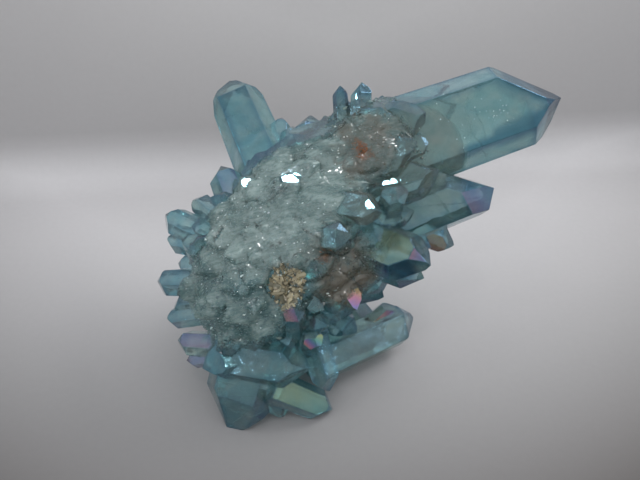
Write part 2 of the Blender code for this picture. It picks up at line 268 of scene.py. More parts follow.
# Painted shade: faces and rims darkened towards the quartz's shadow colour, their film shifted
# bluer.
PAINTED_SHADE_BANDS = (
    Band((29.6, 25.4), (36.4, 22.2), 1.9, 1.0, -6.0),
    Band((-13.8, 21.5), (-9.8, 13.5), 3.2, 0.34, -12.0),
    Patch((-19.5, -9.5, -5.0), 6.0, 5.0, 0.2),
    Patch((-15.0, 9.0, -6.0), 4.0, 3.0, 0.2),
    Band((36.4, 22.0), (34.4, 18.6), 1.3, 0.7, -6.0),
    Band((34.0, 18.6), (28.0, 16.0), 1.8, 0.95, 0.0),
    Band((28.0, 16.0), (22.3, 13.4), 1.1, 0.85, 0.0),
    Band((22.6, 8.6), (24.2, 5.2), 1.5, 0.8),
    Band((2.0, 0.0), (4.6, -1.4), 1.3, 0.9, 3.0),
    Band((8.6, -2.8), (13.0, -4.6), 1.8, 1.0),
    Band((-13.5, -17.8), (-6.5, -17.0), 2.6, 0.32, -4.0),
    Band((10.0, 20.5), (27.5, 26.5), 1.6, 0.18, -8.0),
    Band((2.9, 19.0), (3.2, 23.0), 1.0, 0.6, -3.0),
    Band((6.2, 19.0), (6.5, 23.0), 1.1, 0.45, -3.0),
)
# Windows in the crust: the hollow, and the bright facets that stand clear of it.
BARE = (
    Patch((-5.0, -6.9, 4.5), 3.0, 1.0, 1.0, 0.5),
    Patch((-11.4, 8.9, 0.6), 0.7, 0.4, 1.0),
    Patch((-5.4, 9.0, 3.1), 0.7, 0.4, 1.0),
    Patch((-4.5, 9.2, 3.3), 0.7, 0.4, 1.0),
    Patch((-3.7, 9.5, 3.5), 0.7, 0.4, 1.0),
    Patch((10.4, 8.7, 2.3), 0.5, 0.4, 1.0),
    Patch((7.3, 5.1, 8.0), 0.5, 0.4, 1.0),
)
# Flat, polished facets that mirror a lamp.
CALM = (
    Patch((-11.4, 8.9, 0.6), 1.5, 0.5, 1.0),
    Patch((-4.6, 9.2, 3.3), 2.3, 0.5, 1.0),
    Patch((5.5, 21.9, 1.4), 0.9, 0.5, 1.0),
    Patch((10.4, 8.7, 2.3), 1.2, 0.5, 1.0),
    Patch((13.6, 9.8, 3.0), 3.2, 0.8, 1.0),
    Patch((7.3, 5.1, 8.0), 1.2, 0.5, 1.0),
)
# Orange rust.
RUST = (
    Patch((6.9, 13.6, 4.0), 1.5, 1.8, 0.95, 1.6),
    Patch((5.4, 12.6, 4.5), 0.8, 1.2, 0.8, 1.0),
    Patch((8.2, 14.2, 4.0), 0.6, 1.0, 0.6, 0.8),
    Patch((0.9, -2.6, 6.2), 1.3, 1.0, 0.9, 0.9),
)


# --- node helpers -------------------------------------------------------------------
class Bench:
    """A node tree and the few moves that the finishes need on it."""

    def __init__(self, tree: bpy.types.NodeTree) -> None:
        """Works on one tree.

        Args:
            tree: A material's or a group's node tree.
        """
        self.tree = tree

    def add(self, kind: str, **settings: object) -> bpy.types.Node:
        """Adds a node and sets its properties.

        Args:
            kind: The node's type name without the word ShaderNode.
            **settings: Properties of the node.

        Returns:
            The new node.
        """
        node = self.tree.nodes.new("ShaderNode" + kind)
        for name, value in settings.items():
            setattr(node, name, value)
        return node

    def feed(self, socket: Socket, value: object) -> None:
        """Links a socket to another, or gives it a plain value."""
        if isinstance(value, Socket):
            self.tree.links.new(value, socket)
        elif isinstance(value, tuple) and len(value) == 3 and socket.type == "RGBA":
            socket.default_value = (*value, 1.0)
        else:
            socket.default_value = value

    def math(self, operation: str, *values: object) -> Socket:
        """One math node's result, which isn't clamped."""
        node = self.add("Math", operation=operation)
        for socket, value in zip(node.inputs, values):
            self.feed(socket, value)
        return node.outputs[0]

    def scaled(self, value: object, share: float) -> Socket:
        """A value times a plain share."""
        return self.math("MULTIPLY", value, share)

    def sum_of(self, *parts: tuple) -> Socket:
        """The sum of some values, each times its own share.

        Args:
            *parts: Pairs of a value and its share.

        Returns:
            The sum's socket.
        """
        total = self.scaled(*parts[0])
        for value, share in parts[1:]:
            total = self.math("ADD", total, self.scaled(value, share))
        return total

    def mix(
        self, share: object, first: object, second: object, blend: str = "MIX"
    ) -> Socket:
        """Two colours mixed.

        Args:
            share: How much of the second, as a number or a socket.
            first: A colour or a socket.
            second: A colour or a socket.
            blend: The way of mixing.

        Returns:
            The mixed colour's socket.
        """
        node = self.add("Mix", data_type="RGBA", blend_type=blend)
        self.feed(node.inputs[0], share)
        self.feed(node.inputs[6], first)
        self.feed(node.inputs[7], second)
        return node.outputs[2]

    def ramp(self, value: object, stops: tuple) -> Socket:
        """A colour ramp's result.

        Args:
            value: What runs along the ramp.
            stops: Pairs of a position and a colour.

        Returns:
            The colour's socket.
        """
        node = self.add("ValToRGB")
        elements = node.color_ramp.elements
        while len(elements) < len(stops):
            elements.new(0.5)
        for element, (position, colour) in zip(elements, stops):
            element.position = position
            element.color = (*colour, 1.0)
        self.feed(node.inputs[0], value)
        return node.outputs[0]

    def span(self, value: object, low: float, high: float) -> Socket:
        """A value stretched so that low becomes 0 and high becomes 1, clamped."""
        node = self.add("MapRange", clamp=True)
        self.feed(node.inputs[0], value)
        node.inputs[1].default_value = low
        node.inputs[2].default_value = high
        return node.outputs[0]

    def noise(
        self, where: object, scale: float, detail: float = 2.0, warp: float = 0.0
    ) -> Socket:
        """A noise texture's value at a place.

        Args:
            where: The place's socket.
            scale: Waves a metre.
            detail: How many finer layers it has.
            warp: How far it is bent.

        Returns:
            The value's socket.
        """
        node = self.add("TexNoise")
        self.feed(node.inputs["Vector"], where)
        node.inputs["Scale"].default_value = scale
        node.inputs["Detail"].default_value = detail
        node.inputs["Distortion"].default_value = warp
        return node.outputs["Fac"]

    def place(self) -> Socket:
        """The surface's own place, in metres in the row frame."""
        return self.add("TexCoord").outputs["Object"]

    def combed(self, heading: float, share: float) -> Socket:
        """The surface's place, drawn out along one layout direction.

        Args:
            heading: The direction, in degrees from X towards Y.
            share: The scale along it, against 1 across it.

        Returns:
            The drawn-out place's socket.
        """
        turned = self.add("Mapping")
        self.feed(turned.inputs["Vector"], self.place())
        turn = (math.radians(-LAYOUT.lean), 0.0, math.radians(-heading))
        turned.inputs["Rotation"].default_value = turn
        drawn = self.add("Mapping")
        self.feed(drawn.inputs["Vector"], turned.outputs[0])
        drawn.inputs["Scale"].default_value = (share, 1.0, 1.0)
        return drawn.outputs[0]

    def attribute(self, name: str, output: str = "Fac") -> Socket:
        """A value that the mesh carries."""
        return self.add("Attribute", attribute_name=name).outputs[output]

    def group(self, tree: bpy.types.NodeTree, **values: object) -> bpy.types.Node:
        """A shared effect, with this material's own values.

        Args:
            tree: The effect's node group.
            **values: Its inputs by name, with underscores for spaces.

        Returns:
            The group's node.
        """
        node = self.add("Group", node_tree=tree)
        for name, value in values.items():
            self.feed(node.inputs[name.replace("_", " ")], value)
        return node

    def bump(self, shader: bpy.types.Node, height: Socket, relief: Pair) -> None:
        """Bumps a shader's normal by a height.

        Args:
            shader: The material's shader.
            height: What stands out.
            relief: The bump's strength and its distance, in metres.
        """
        node = self.add("Bump")
        node.inputs["Strength"].default_value, node.inputs["Distance"].default_value = relief
        self.feed(node.inputs["Height"], height)
        self.feed(shader.inputs["Normal"], node.outputs["Normal"])


class Effect:
    """A shared shader node group with named inputs and outputs."""

    def __init__(self, name: str, inputs: dict, outputs: dict) -> None:
        """Makes the empty group.

        Args:
            name: The group's name.
            inputs: Socket kinds by name.
            outputs: Socket kinds by name.
        """
        self.tree = bpy.data.node_groups.new(name, "ShaderNodeTree")
        for label, kind in inputs.items():
            self.tree.interface.new_socket(
                name=label, in_out="INPUT", socket_type="NodeSocket" + kind
            )
        for label, kind in outputs.items():
            self.tree.interface.new_socket(
                name=label, in_out="OUTPUT", socket_type="NodeSocket" + kind
            )
        self.bench = Bench(self.tree)
        self.given = self.tree.nodes.new("NodeGroupInput").outputs
        self.result = self.tree.nodes.new("NodeGroupOutput").inputs


def film_effect() -> bpy.types.NodeTree:
    """The colours of the metal film by its thickness, in interference order."""
    effect = Effect("film_colours", {"Film": "Float"}, {"Color": "Color"})
    bench = effect.bench
    colour = bench.ramp(
        effect.given["Film"],
        (
            (0.00, (0.74, 0.70, 0.45)),
            (0.14, (0.76, 0.56, 0.50)),
            (0.25, (0.52, 0.40, 0.58)),
            (0.36, (0.32, 0.36, 0.52)),
            (0.47, (0.26, 0.42, 0.51)),
            (0.60, (0.31, 0.55, 0.58)),
            (0.74, (0.39, 0.59, 0.56)),
            (0.87, (0.52, 0.65, 0.52)),
            (1.00, (0.70, 0.72, 0.52)),
        ),
    )
    bench.feed(effect.result["Color"], colour)
    return effect.tree


def growth_effect() -> bpy.types.NodeTree:
    """Growth hillocks, pits and fine lines of a quartz face, as a height."""
    effect = Effect(
        "growth_relief",
        {"Place": "Vector", "Rise": "Float", "Lines": "Float"},
        {"Height": "Float"},
    )
    bench = effect.bench
    where = effect.given["Place"]
    swell = bench.noise(where, 170.0, 2.0, 0.6)
    fine = bench.scaled(bench.noise(where, 620.0, 3.0, 0.5), 0.14)
    swell = bench.math("ADD", swell, fine)
    wander = bench.scaled(bench.noise(where, 110.0, 1.0), 1.6)
    lines = bench.add("TexNoise", noise_dimensions="1D")
    bench.feed(lines.inputs["W"], bench.math("ADD", effect.given["Rise"], wander))
    lines.inputs["Scale"].default_value = 3.2
    lines.inputs["Detail"].default_value = 3.0
    pits = bench.add("TexVoronoi", feature="F1")
    bench.feed(pits.inputs["Vector"], where)
    pits.inputs["Scale"].default_value = 900.0
    pit = bench.span(pits.outputs["Distance"], 0.16, 0.05)
    scarce = bench.span(bench.noise(where, 330.0, 1.0), 0.54, 0.62)
    pit = bench.math("MULTIPLY", pit, scarce)
    lined = bench.math("MULTIPLY", lines.outputs["Fac"], effect.given["Lines"])
    height = bench.math("ADD", swell, bench.scaled(lined, 0.07))
    height = bench.math("SUBTRACT", height, bench.scaled(pit, 0.12))
    bench.feed(effect.result["Height"], height)
    return effect.tree


def sugar_effect() -> bpy.types.NodeTree:
    """The grain of a sugary surface, as a height."""
    effect = Effect(
        "sugar_grain", {"Place": "Vector", "Fineness": "Float"}, {"Height": "Float"}
    )
    bench = effect.bench
    grain = bench.add("TexVoronoi", feature="F1")
    bench.feed(grain.inputs["Vector"], effect.given["Place"])
    bench.feed(grain.inputs["Scale"], effect.given["Fineness"])
    cells = bench.add("SeparateColor")
    bench.feed(cells.inputs[0], grain.outputs["Color"])
    tilt = bench.math("MULTIPLY", grain.outputs["Distance"], cells.outputs[1])
    fine = bench.noise(effect.given["Place"], 2600.0, 2.0)
    height = bench.math("ADD", tilt, bench.scaled(fine, 0.35))
    bench.feed(effect.result["Height"], height)
    return effect.tree


# --- finishes ----------------------------------------------------------------------
@dataclass(frozen=True)
class Effects:
    """The shared node groups."""

    film: bpy.types.NodeTree
    growth: bpy.types.NodeTree
    sugar: bpy.types.NodeTree

    @classmethod
    def make(cls) -> "Effects":
        """Builds each group once."""
        return cls(film_effect(), growth_effect(), sugar_effect())


def principled(name: str, **plain: object) -> tuple[bpy.types.Material, Bench, bpy.types.Node]:
    """A new node material.

    Args:
        name: The material's name.
        **plain: The shader's plain values by socket, with underscores for spaces.

    Returns:
        The material, its bench and its shader.
    """
    material = bpy.data.materials.new(name)
    material.use_nodes = True
    shader = material.node_tree.nodes["Principled BSDF"]
    for socket, value in plain.items():
        shader.inputs[socket.replace("_", " ")].default_value = value
    return material, Bench(material.node_tree), shader


@dataclass(frozen=True)
class AuraQuartz:
    """Clear quartz under the sea-blue film, sugary and stained where it is masked.

    Attributes:
        clearness: The share of light that passes through.
        ior: Quartz's index of refraction.
        film_nm: The film's thickness for the play of colour in reflections.
        film_ior: The film's index of refraction.
        depth_colour: What light turns to as it crosses the quartz.
        density: How fast it does, a metre.
        greyed: The film's dull patches, and how strongly they take.
        murk: The film's deeper patches, and how strongly they take.
        shadow: The painted shade on the rims of crisp edges and on the shaded bands.
        sugar_colour: Sugary parts, where they are pale.
        sugar_deep: Sugary parts, where they are blue.
        haze_colour: Cloudy quartz just under the face.
        stain_colour: Clay stains.
        rust_colour: Rust.
        relief: The bump's strength and its distance, in metres.
    """

    clearness: float = 0.82
    ior: float = QUARTZ_IOR
    film_nm: float = 208.0
    film_ior: float = 1.72
    depth_colour: Colour = (0.28, 0.72, 0.75)
    density: float = 84.0
    greyed: tuple[Colour, float] = ((0.70, 0.72, 0.62), 0.6)
    murk: tuple[Colour, float] = ((0.16, 0.36, 0.38), 0.55)
    shadow: Colour = (0.05, 0.15, 0.23)
    sugar_colour: Colour = (0.60, 0.70, 0.66)
    sugar_deep: Colour = (0.34, 0.50, 0.49)
    haze_colour: Colour = (0.46, 0.46, 0.37)
    stain_colour: Colour = (0.36, 0.28, 0.17)
    rust_colour: Colour = (0.42, 0.14, 0.03)
    relief: Pair = (0.6, 0.0006)

    def material(self, effects: Effects) -> bpy.types.Material:
        """Builds the finish.

        Args:
            effects: The shared node groups.

        Returns:
            The material.
        """
        material, bench, shader = principled(
            "aura_quartz",
            Transmission_Weight=self.clearness,
            IOR=self.ior,
            Thin_Film_Thickness=self.film_nm,
            Thin_Film_IOR=self.film_ior,
        )
        place = bench.place()
        film = bench.attribute("film")
        masks = bench.add("SeparateColor")
        bench.feed(masks.inputs[0], bench.attribute("masks", "Color"))
        sugar, stain, haze = masks.outputs
        rust = bench.attribute("rust")
        deep = bench.attribute("deep")
        rim = bench.attribute("rim")

        mottle = bench.noise(place, 300.0, 4.0, 0.6)
        drift = bench.scaled(bench.math("SUBTRACT", mottle, 0.5), 0.22)
        film = bench.math("ADD", film, drift)
        # Painted shade: by the rims of crisp edges and in the shaded bands the film is shifted
        # bluer.
        film = bench.math("SUBTRACT", film, bench.sum_of((rim, 0.10), (deep, 0.16)))
        colour = bench.group(effects.film, Film=film).outputs["Color"]
        patchy = bench.span(bench.noise(place, 170.0, 6.0, 1.2), 0.42, 0.64)
        murky = bench.span(bench.noise(place, 240.0, 5.0, 0.8), 0.5, 0.68)
        for mask, (tint, share) in ((patchy, self.greyed), (murky, self.murk)):
            colour = bench.mix(bench.scaled(mask, share), colour, tint)
        # Painted shade: the rims of crisp edges and the shaded bands are darkened towards the
        # shadow colour.
        colour = bench.mix(bench.sum_of((rim, 0.38), (deep, 0.95)), colour, self.shadow)
        grain = bench.group(effects.sugar, Place=place, Fineness=1500.0)
        growth = bench.group(
            effects.growth,
            Place=place,
            Rise=bench.attribute("rise"),
            Lines=bench.attribute("lined"),
        )
        cloud = bench.span(bench.noise(place, 520.0, 3.0, 0.3), 0.3, 0.7)
        sugar_tint = bench.mix(cloud, self.sugar_colour, self.sugar_deep)
        colour = bench.mix(bench.scaled(sugar, 0.9), colour, sugar_tint)
        colour = bench.mix(haze, colour, self.haze_colour)
        stained = bench.math("ADD", stain, bench.scaled(mottle, 0.5))
        colour = bench.mix(bench.span(stained, 0.3, 1.15), colour, self.stain_colour)
        colour = bench.mix(rust, colour, self.rust_colour)
        bench.feed(shader.inputs["Base Color"], colour)

        rough = bench.sum_of((sugar, 0.24), (haze, 0.12), (rust, 0.35), (mottle, 0.07))
        lively = bench.math("MULTIPLY_ADD", bench.attribute("calm"), -0.95, 1.0)
        rough = bench.math("MULTIPLY_ADD", rough, lively, 0.01)
        bench.feed(shader.inputs["Roughness"], rough)

        sugared = bench.math("MULTIPLY", grain.outputs["Height"], sugar)
        height = bench.math("ADD", growth.outputs["Height"], bench.scaled(sugared, 0.16))
        bench.bump(shader, bench.math("MULTIPLY", height, lively), self.relief)

        depth = bench.add("VolumeAbsorption")
        bench.feed(depth.inputs["Color"], self.depth_colour)
        depth.inputs["Density"].default_value = self.density
        output = material.node_tree.nodes["Material Output"]
        bench.feed(output.inputs["Volume"], depth.outputs["Volume"])
        return material


@dataclass(frozen=True)
class Druse:
    """Small bright grains, from frosted grey-green to stained.

    Attributes:
        name: The material's name.
        pale: The lightest grains.
        deep: The darkest grains.
        stain: The stained grains.
        clearness: The share of light that passes through.
        stained: How strongly the stain takes.
        dulled: How far roughness reaches above that of a bright face.
        aqua: How strongly the sea-blue film colours them.
        rust: The rusty grains.
        relief: The bump's strength and its distance, in metres.
    """

    name: str
    pale: Colour
    deep: Colour
    stain: Colour
    clearness: float = 0.35
    stained: float = 1.0
    dulled: float = 0.2
    aqua: float = 0.45
    rust: Colour = (0.40, 0.13, 0.03)
    relief: Pair = (0.25, 0.00004)

    def material(self, effects: Effects) -> bpy.types.Material:
        """Builds the finish.

        Args:
            effects: The shared node groups.

        Returns:
            The material.
        """
        material, bench, shader = principled(
            self.name, Transmission_Weight=self.clearness, IOR=QUARTZ_IOR
        )
        place = bench.place()
        tone = bench.attribute("tone")
        stain = bench.attribute("stain")
        rust = bench.attribute("rust")
        colour = bench.mix(tone, self.deep, self.pale)
        cloud = bench.noise(place, 700.0, 3.0, 0.2)
        colour = bench.mix(bench.scaled(cloud, self.aqua), colour, AQUA_TINT)
        film = bench.group(effects.film, Film=bench.attribute("film")).outputs["Color"]
        colour = bench.mix(self.aqua / 2, colour, film)
        colour = bench.mix(bench.scaled(stain, self.stained), colour, self.stain)
        colour = bench.mix(rust, colour, self.rust)
        bench.feed(shader.inputs["Base Color"], colour)
        dull = bench.span(bench.noise(place, 1500.0, 1.0), 0.35, 0.62)
        rough = bench.math("ADD", bench.scaled(dull, self.dulled), 0.04)
        bench.feed(shader.inputs["Roughness"], rough)
        grain = bench.group(effects.sugar, Place=place, Fineness=3200.0)
        bench.bump(shader, grain.outputs["Height"], self.relief)
        return material


@dataclass(frozen=True)
class Frost:
    """The crust of fine sugar: pale, milky and wet-looking, stained in places.

    Attributes:
        zones: Its colours from thin to thick.
        stain: Where clay stains it.
        rust: The rusty specks.
        comb: The streaks' heading in degrees and how far they are drawn out.
        relief: The bump's strength and its distance, in metres.
    """

    zones: tuple = (
        (0.00, (0.06, 0.15, 0.16)),
        (0.40, (0.13, 0.240, 0.235)),
        (0.72, (0.22, 0.325, 0.31)),
        (1.00, (0.34, 0.455, 0.435)),
    )
    stain: Colour = (0.14, 0.122, 0.088)
    rust: Colour = (0.24, 0.10, 0.035)
    comb: Pair = (15.0, 0.22)
    relief: Pair = (0.32, 0.00006)

    def material(self, effects: Effects) -> bpy.types.Material:
        """Builds the finish.

        Args:
            effects: The shared node groups.

        Returns:
            The material.
        """
        material, bench, shader = principled(
            "frosted_sugar",
            IOR=QUARTZ_IOR,
            Subsurface_Weight=0.8,
            Subsurface_Radius=(0.9, 1.0, 1.0),
            Subsurface_Scale=0.0014,
            Coat_Weight=1.0,
            Coat_Roughness=0.04,
        )
        place = bench.place()
        wide = bench.span(bench.noise(place, 170.0, 4.0, 0.8), 0.36, 0.66)
        fine = bench.span(bench.noise(place, 1300.0, 3.0, 0.4), 0.35, 0.75)
        combed = bench.combed(*self.comb)
        streak = bench.span(bench.noise(combed, 2600.0, 3.0, 0.3), 0.34, 0.68)
        tone = bench.math("MULTIPLY_ADD", bench.attribute("cover"), 0.66, 0.20)
        for part, share in ((wide, 0.46), (fine, 0.22), (streak, 0.46)):
            part = bench.scaled(bench.math("SUBTRACT", part, 0.5), share)
            tone = bench.math("ADD", tone, part)
        colour = bench.ramp(tone, self.zones)
        stain = bench.math("MULTIPLY", bench.attribute("stain"), bench.span(wide, -0.4, 0.8))
        colour = bench.mix(stain, colour, self.stain)
        speckle = bench.math("MULTIPLY", bench.attribute("rust"), bench.span(fine, 0.0, 0.5))
        colour = bench.mix(speckle, colour, self.rust)
        bench.feed(shader.inputs["Base Color"], colour)
        rough = bench.math("ADD", bench.scaled(fine, 0.16), 0.07)
        bench.feed(shader.inputs["Roughness"], rough)
        cover = bench.math("MULTIPLY", bench.attribute("cover"), bench.math("ADD", fine, 0.7))
        cover = bench.span(cover, 0.04, 0.50)
        thick = bench.math("ADD", bench.scaled(wide, 0.28), 0.56)
        bench.feed(shader.inputs["Alpha"], bench.math("MULTIPLY", cover, thick))
        grain = bench.group(effects.sugar, Place=place, Fineness=2200.0)
        height = bench.math("ADD", grain.outputs["Height"], bench.scaled(streak, 0.8))
        bench.bump(shader, height, self.relief)
        return material


@dataclass(frozen=True)
class FilmPlate:
    """The metal film where it is thick enough to play from gold to violet.

    Attributes:
        orders: Its colours by the film's order.
        drift: How far the order wanders.
    """

    orders: tuple = (
        (0.00, (0.72, 0.66, 0.28)),
        (0.16, (0.74, 0.48, 0.30)),
        (0.32, (0.68, 0.34, 0.46)),
        (0.48, (0.42, 0.32, 0.64)),
        (0.62, (0.21, 0.37, 0.64)),
        (0.78, (0.22, 0.60, 0.55)),
        (1.00, (0.55, 0.68, 0.36)),
    )
    drift: float = 0.22

    def material(self) -> bpy.types.Material:
        """Builds the finish and returns its material."""
        material, bench, shader = principled("thick_film", Metallic=0.7, Roughness=0.18)
        place = bench.place()
        film = bench.attribute("film")
        drift = bench.math("SUBTRACT", bench.noise(place, 420.0, 2.0, 0.5), 0.5)
        film = bench.math("ADD", film, bench.scaled(drift, self.drift))
        bench.feed(shader.inputs["Base Color"], bench.ramp(film, self.orders))
        bench.feed(shader.inputs["Alpha"], bench.attribute("cover"))
        return material


@dataclass(frozen=True)
class Milk:
    """The cloudy quartz of an older growth inside the main point.

    Attributes:
        colour: Its thinner parts.
        warm: Its thicker parts.
    """

    colour: Colour = (0.60, 0.60, 0.53)
    warm: Colour = (0.68, 0.56, 0.49)

    def material(self) -> bpy.types.Material:
        """Builds the finish and returns its material."""
        material, bench, shader = principled("cloudy_quartz", Roughness=0.6)
        place = bench.place()
        cloud = bench.span(bench.noise(place, 210.0, 5.0, 0.8), 0.35, 0.68)
        bench.feed(shader.inputs["Base Color"], bench.mix(cloud, self.colour, self.warm))
        alpha = bench.math("ADD", bench.scaled(cloud, 0.35), 0.3)
        bench.feed(shader.inputs["Alpha"], alpha)
        return material


@dataclass(frozen=True)
class Veil:
    """A healed crack inside clear quartz: a wispy, half-clear sheet.

    Attributes:
        colour: Its thin parts.
        wisp: Its wisps.
        most: The most of the view that it covers.
    """

    colour: Colour = (0.62, 0.72, 0.66)
    wisp: Colour = (0.40, 0.50, 0.44)
    most: float = 0.55

    def material(self) -> bpy.types.Material:
        """Builds the finish and returns its material."""
        material, bench, shader = principled("healed_crack", Roughness=0.5)
        place = bench.place()
        wisps = bench.span(bench.noise(place, 340.0, 5.0, 1.2), 0.42, 0.7)
        edge = bench.attribute("edge")
        alpha = bench.scaled(bench.math("ADD", wisps, edge), self.most)
        bench.feed(shader.inputs["Alpha"], alpha)
        bench.feed(shader.inputs["Base Color"], bench.mix(wisps, self.colour, self.wisp))
        return material


@dataclass(frozen=True)
class Stage:
    """The pale paper that the cluster lies on.

    Light and shade are painted into its colour: it is darkened as light would fall off
    across it and away from the front, each as a curve of the distance from the middle:
    a constant, a slope and a bend. The wall's middle glows, a painted pool of light from above.

    Attributes:
        colour: The paper itself.
        name: The material's name.
        painted_shades: How dark the paper is painted for how little light would fall on it.
        across: The painted light's curve from left to right.
        away: The painted light's slope and bend from front to back.
        painted_wall_light: The most painted light on the wall, and how much is lost up it.
        far: Where the painted light evens out, in metres from the middle.
        painted_glow: How strongly the wall's middle glows, a painted pool of light from above.
    """

    colour: Colour
    name: str
    painted_shades: tuple = (
        (0.10, (0.105, 0.095, 0.090)),
        (0.30, (0.300, 0.294, 0.292)),
        (0.80, (0.800, 0.790, 0.796)),
    )
    across: tuple[float, float, float] = (0.545, -0.06, -0.125)
    away: Pair = (0.385, -0.055)
    painted_wall_light: Pair = (0.69, -0.25)
    far: Pair = (0.085, 0.16)
    painted_glow: float = 0.16

    def material(self) -> bpy.types.Material:
        """Builds the finish and returns its material."""
        material, bench, shader = principled(
            self.name, Roughness=0.6, Emission_Strength=self.painted_glow
        )
        place = bench.place()
        tooth = bench.noise(place, 900.0, 3.0)
        light = tuple(channel * 1.03 for channel in self.colour)
        dark = tuple(channel * 0.97 for channel in self.colour)
        paper = bench.mix(tooth, dark, light)
        axes = bench.add("SeparateXYZ")
        bench.feed(axes.inputs[0], place)
        # Painted light and shade: the paper's colour is darkened by a curve across it and away
        # from the front, not by the lamps.
        across = bench.scaled(axes.outputs[0], 20.0)
        away = bench.scaled(axes.outputs[1], 20.0)
        constant, slope, bend = self.across
        painted_light = bench.math("MULTIPLY_ADD", across, bend, slope)
        painted_light = bench.math("MULTIPLY_ADD", painted_light, across, constant)
        slope, bend = self.away
        painted_light = bench.math("MULTIPLY_ADD", bench.math("MULTIPLY_ADD", away, bend, slope), away, painted_light)
        most, lost = self.painted_wall_light
        wall = bench.span(axes.outputs[2], 0.002, 0.012)
        painted_light = bench.math("MINIMUM", painted_light, bench.math("MULTIPLY_ADD", wall, lost, most))
        reach = bench.add("VectorMath", operation="LENGTH")
        bench.feed(reach.inputs[0], place)
        far = bench.span(reach.outputs["Value"], *self.far)
        evened = bench.math("MULTIPLY", far, bench.math("SUBTRACT", 0.5, painted_light))
        painted_light = bench.math("ADD", painted_light, evened)
        painted_shade = bench.ramp(painted_light, self.painted_shades)
        paper = bench.mix(1.0, paper, painted_shade, "MULTIPLY")
        bench.feed(shader.inputs["Base Color"], paper)
        # Painted light: the wall's middle glows by emission, though it is no lamp.
        high = bench.span(axes.outputs[2], 0.0, 0.06)
        middle = bench.span(bench.math("ABSOLUTE", axes.outputs[0]), 0.13, 0.0)
        painted_glow = bench.math("MULTIPLY", bench.math("MULTIPLY_ADD", middle, 2.2, -0.35), high)
        painted_glow = bench.mix(painted_glow, (0.0, 0.0, 0.0), (1.0, 1.0, 1.0))
        bench.feed(shader.inputs["Emission Color"], painted_glow)
        behind = bench.add("NewGeometry").outputs["Backfacing"]
        bench.feed(shader.inputs["Alpha"], bench.math("SUBTRACT", 1.0, behind))
        return material


# --- mesh helpers -------------------------------------------------------------------
class Domain(Enum):
    """What a mesh's named values belong to."""

    POINT = "POINT"
    CORNER = "CORNER"


def mesh_of(name: str, spots: list, faces: list) -> bpy.types.Mesh:
    """A new mesh from its corners and its faces."""
    data = bpy.data.meshes.new(name)
    data.from_pydata(spots, [], faces)
    data.update()
    return data


def new_object(
    name: str, mesh: bpy.types.Mesh, material: bpy.types.Material
) -> bpy.types.Object:
    """A shown object with one material, in the scene."""
    made = bpy.data.objects.new(name, mesh)
    bpy.context.scene.collection.objects.link(made)
    mesh.materials.clear()
    mesh.materials.append(material)
    return made


def settle(piece: bpy.types.Object) -> bpy.types.Object:
    """Makes a piece move with the cluster, and logs how many faces it has."""
    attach(piece, ROOT)
    LOG.info("%s: %d faces", piece.name, len(piece.data.polygons))
    return piece


def held_in(corners: np.ndarray) -> np.ndarray:
    """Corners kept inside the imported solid's own box."""
    low, high = (np.array(corner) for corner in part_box(NODE))
    return np.clip(corners, low, high)


def corners_of(mesh: bpy.types.Mesh) -> np.ndarray:
    """The mesh's vertices as an array, in metres."""
    spots = np.zeros(len(mesh.vertices) * 3)
    mesh.vertices.foreach_get("co", spots)
    return spots.reshape(-1, 3)


def triangles_of(mesh: bpy.types.Mesh, count: int | None = None) -> np.ndarray:
    """The corners of a mesh's first triangles, in the layout frame.

    Args:
        mesh: A mesh whose first faces are triangles.
        count: How many of them, or None for every face.

    Returns:
        Three spots for each triangle.
    """
    index = np.zeros(len(mesh.loops), int)
    mesh.loops.foreach_get("vertex_index", index)
    index = index[: 3 * (count or len(mesh.polygons))]
    return LAYOUT.to_layout(corners_of(mesh))[index.reshape(-1, 3)]


def carry(mesh: bpy.types.Mesh, domain: Domain, **values: np.ndarray) -> None:
    """Gives a mesh named values at each point or corner.

    Args:
        mesh: The mesh.
        domain: What the values belong to.
        **values: The values by their name.
    """
    for name, each in values.items():
        layer = mesh.attributes.new(name, "FLOAT", domain.value)
        layer.data.foreach_set("value", np.asarray(each).astype(np.float32))


def carry_colour(mesh: bpy.types.Mesh, name: str, values: np.ndarray) -> None:
    """Gives a mesh three named values at each point, as one colour."""
    layer = mesh.attributes.new(name, "FLOAT_COLOR", "POINT")
    full = np.ones((len(values), 4), np.float32)
    full[:, :3] = values
    layer.data.foreach_set("color", full.ravel())


# --- the cluster's own surface --------------------------------------------------------
@dataclass(frozen=True)
class FilmSpot:
    """A place where the film's colours play strongly across one facet.

    Attributes:
        centre: Its middle, in the layout frame.
        radius: Facets whose middle is this near take part.
        film: The film's order at the centre.
        slope: How fast the order changes, a millimetre along X, Y and Z.
        cover: How much of the facet a plate of thick film covers.
    """

    centre: Spot
    radius: float
    film: float
    slope: Spot = (0.0, 0.0, 0.0)
    cover: float = 0.0


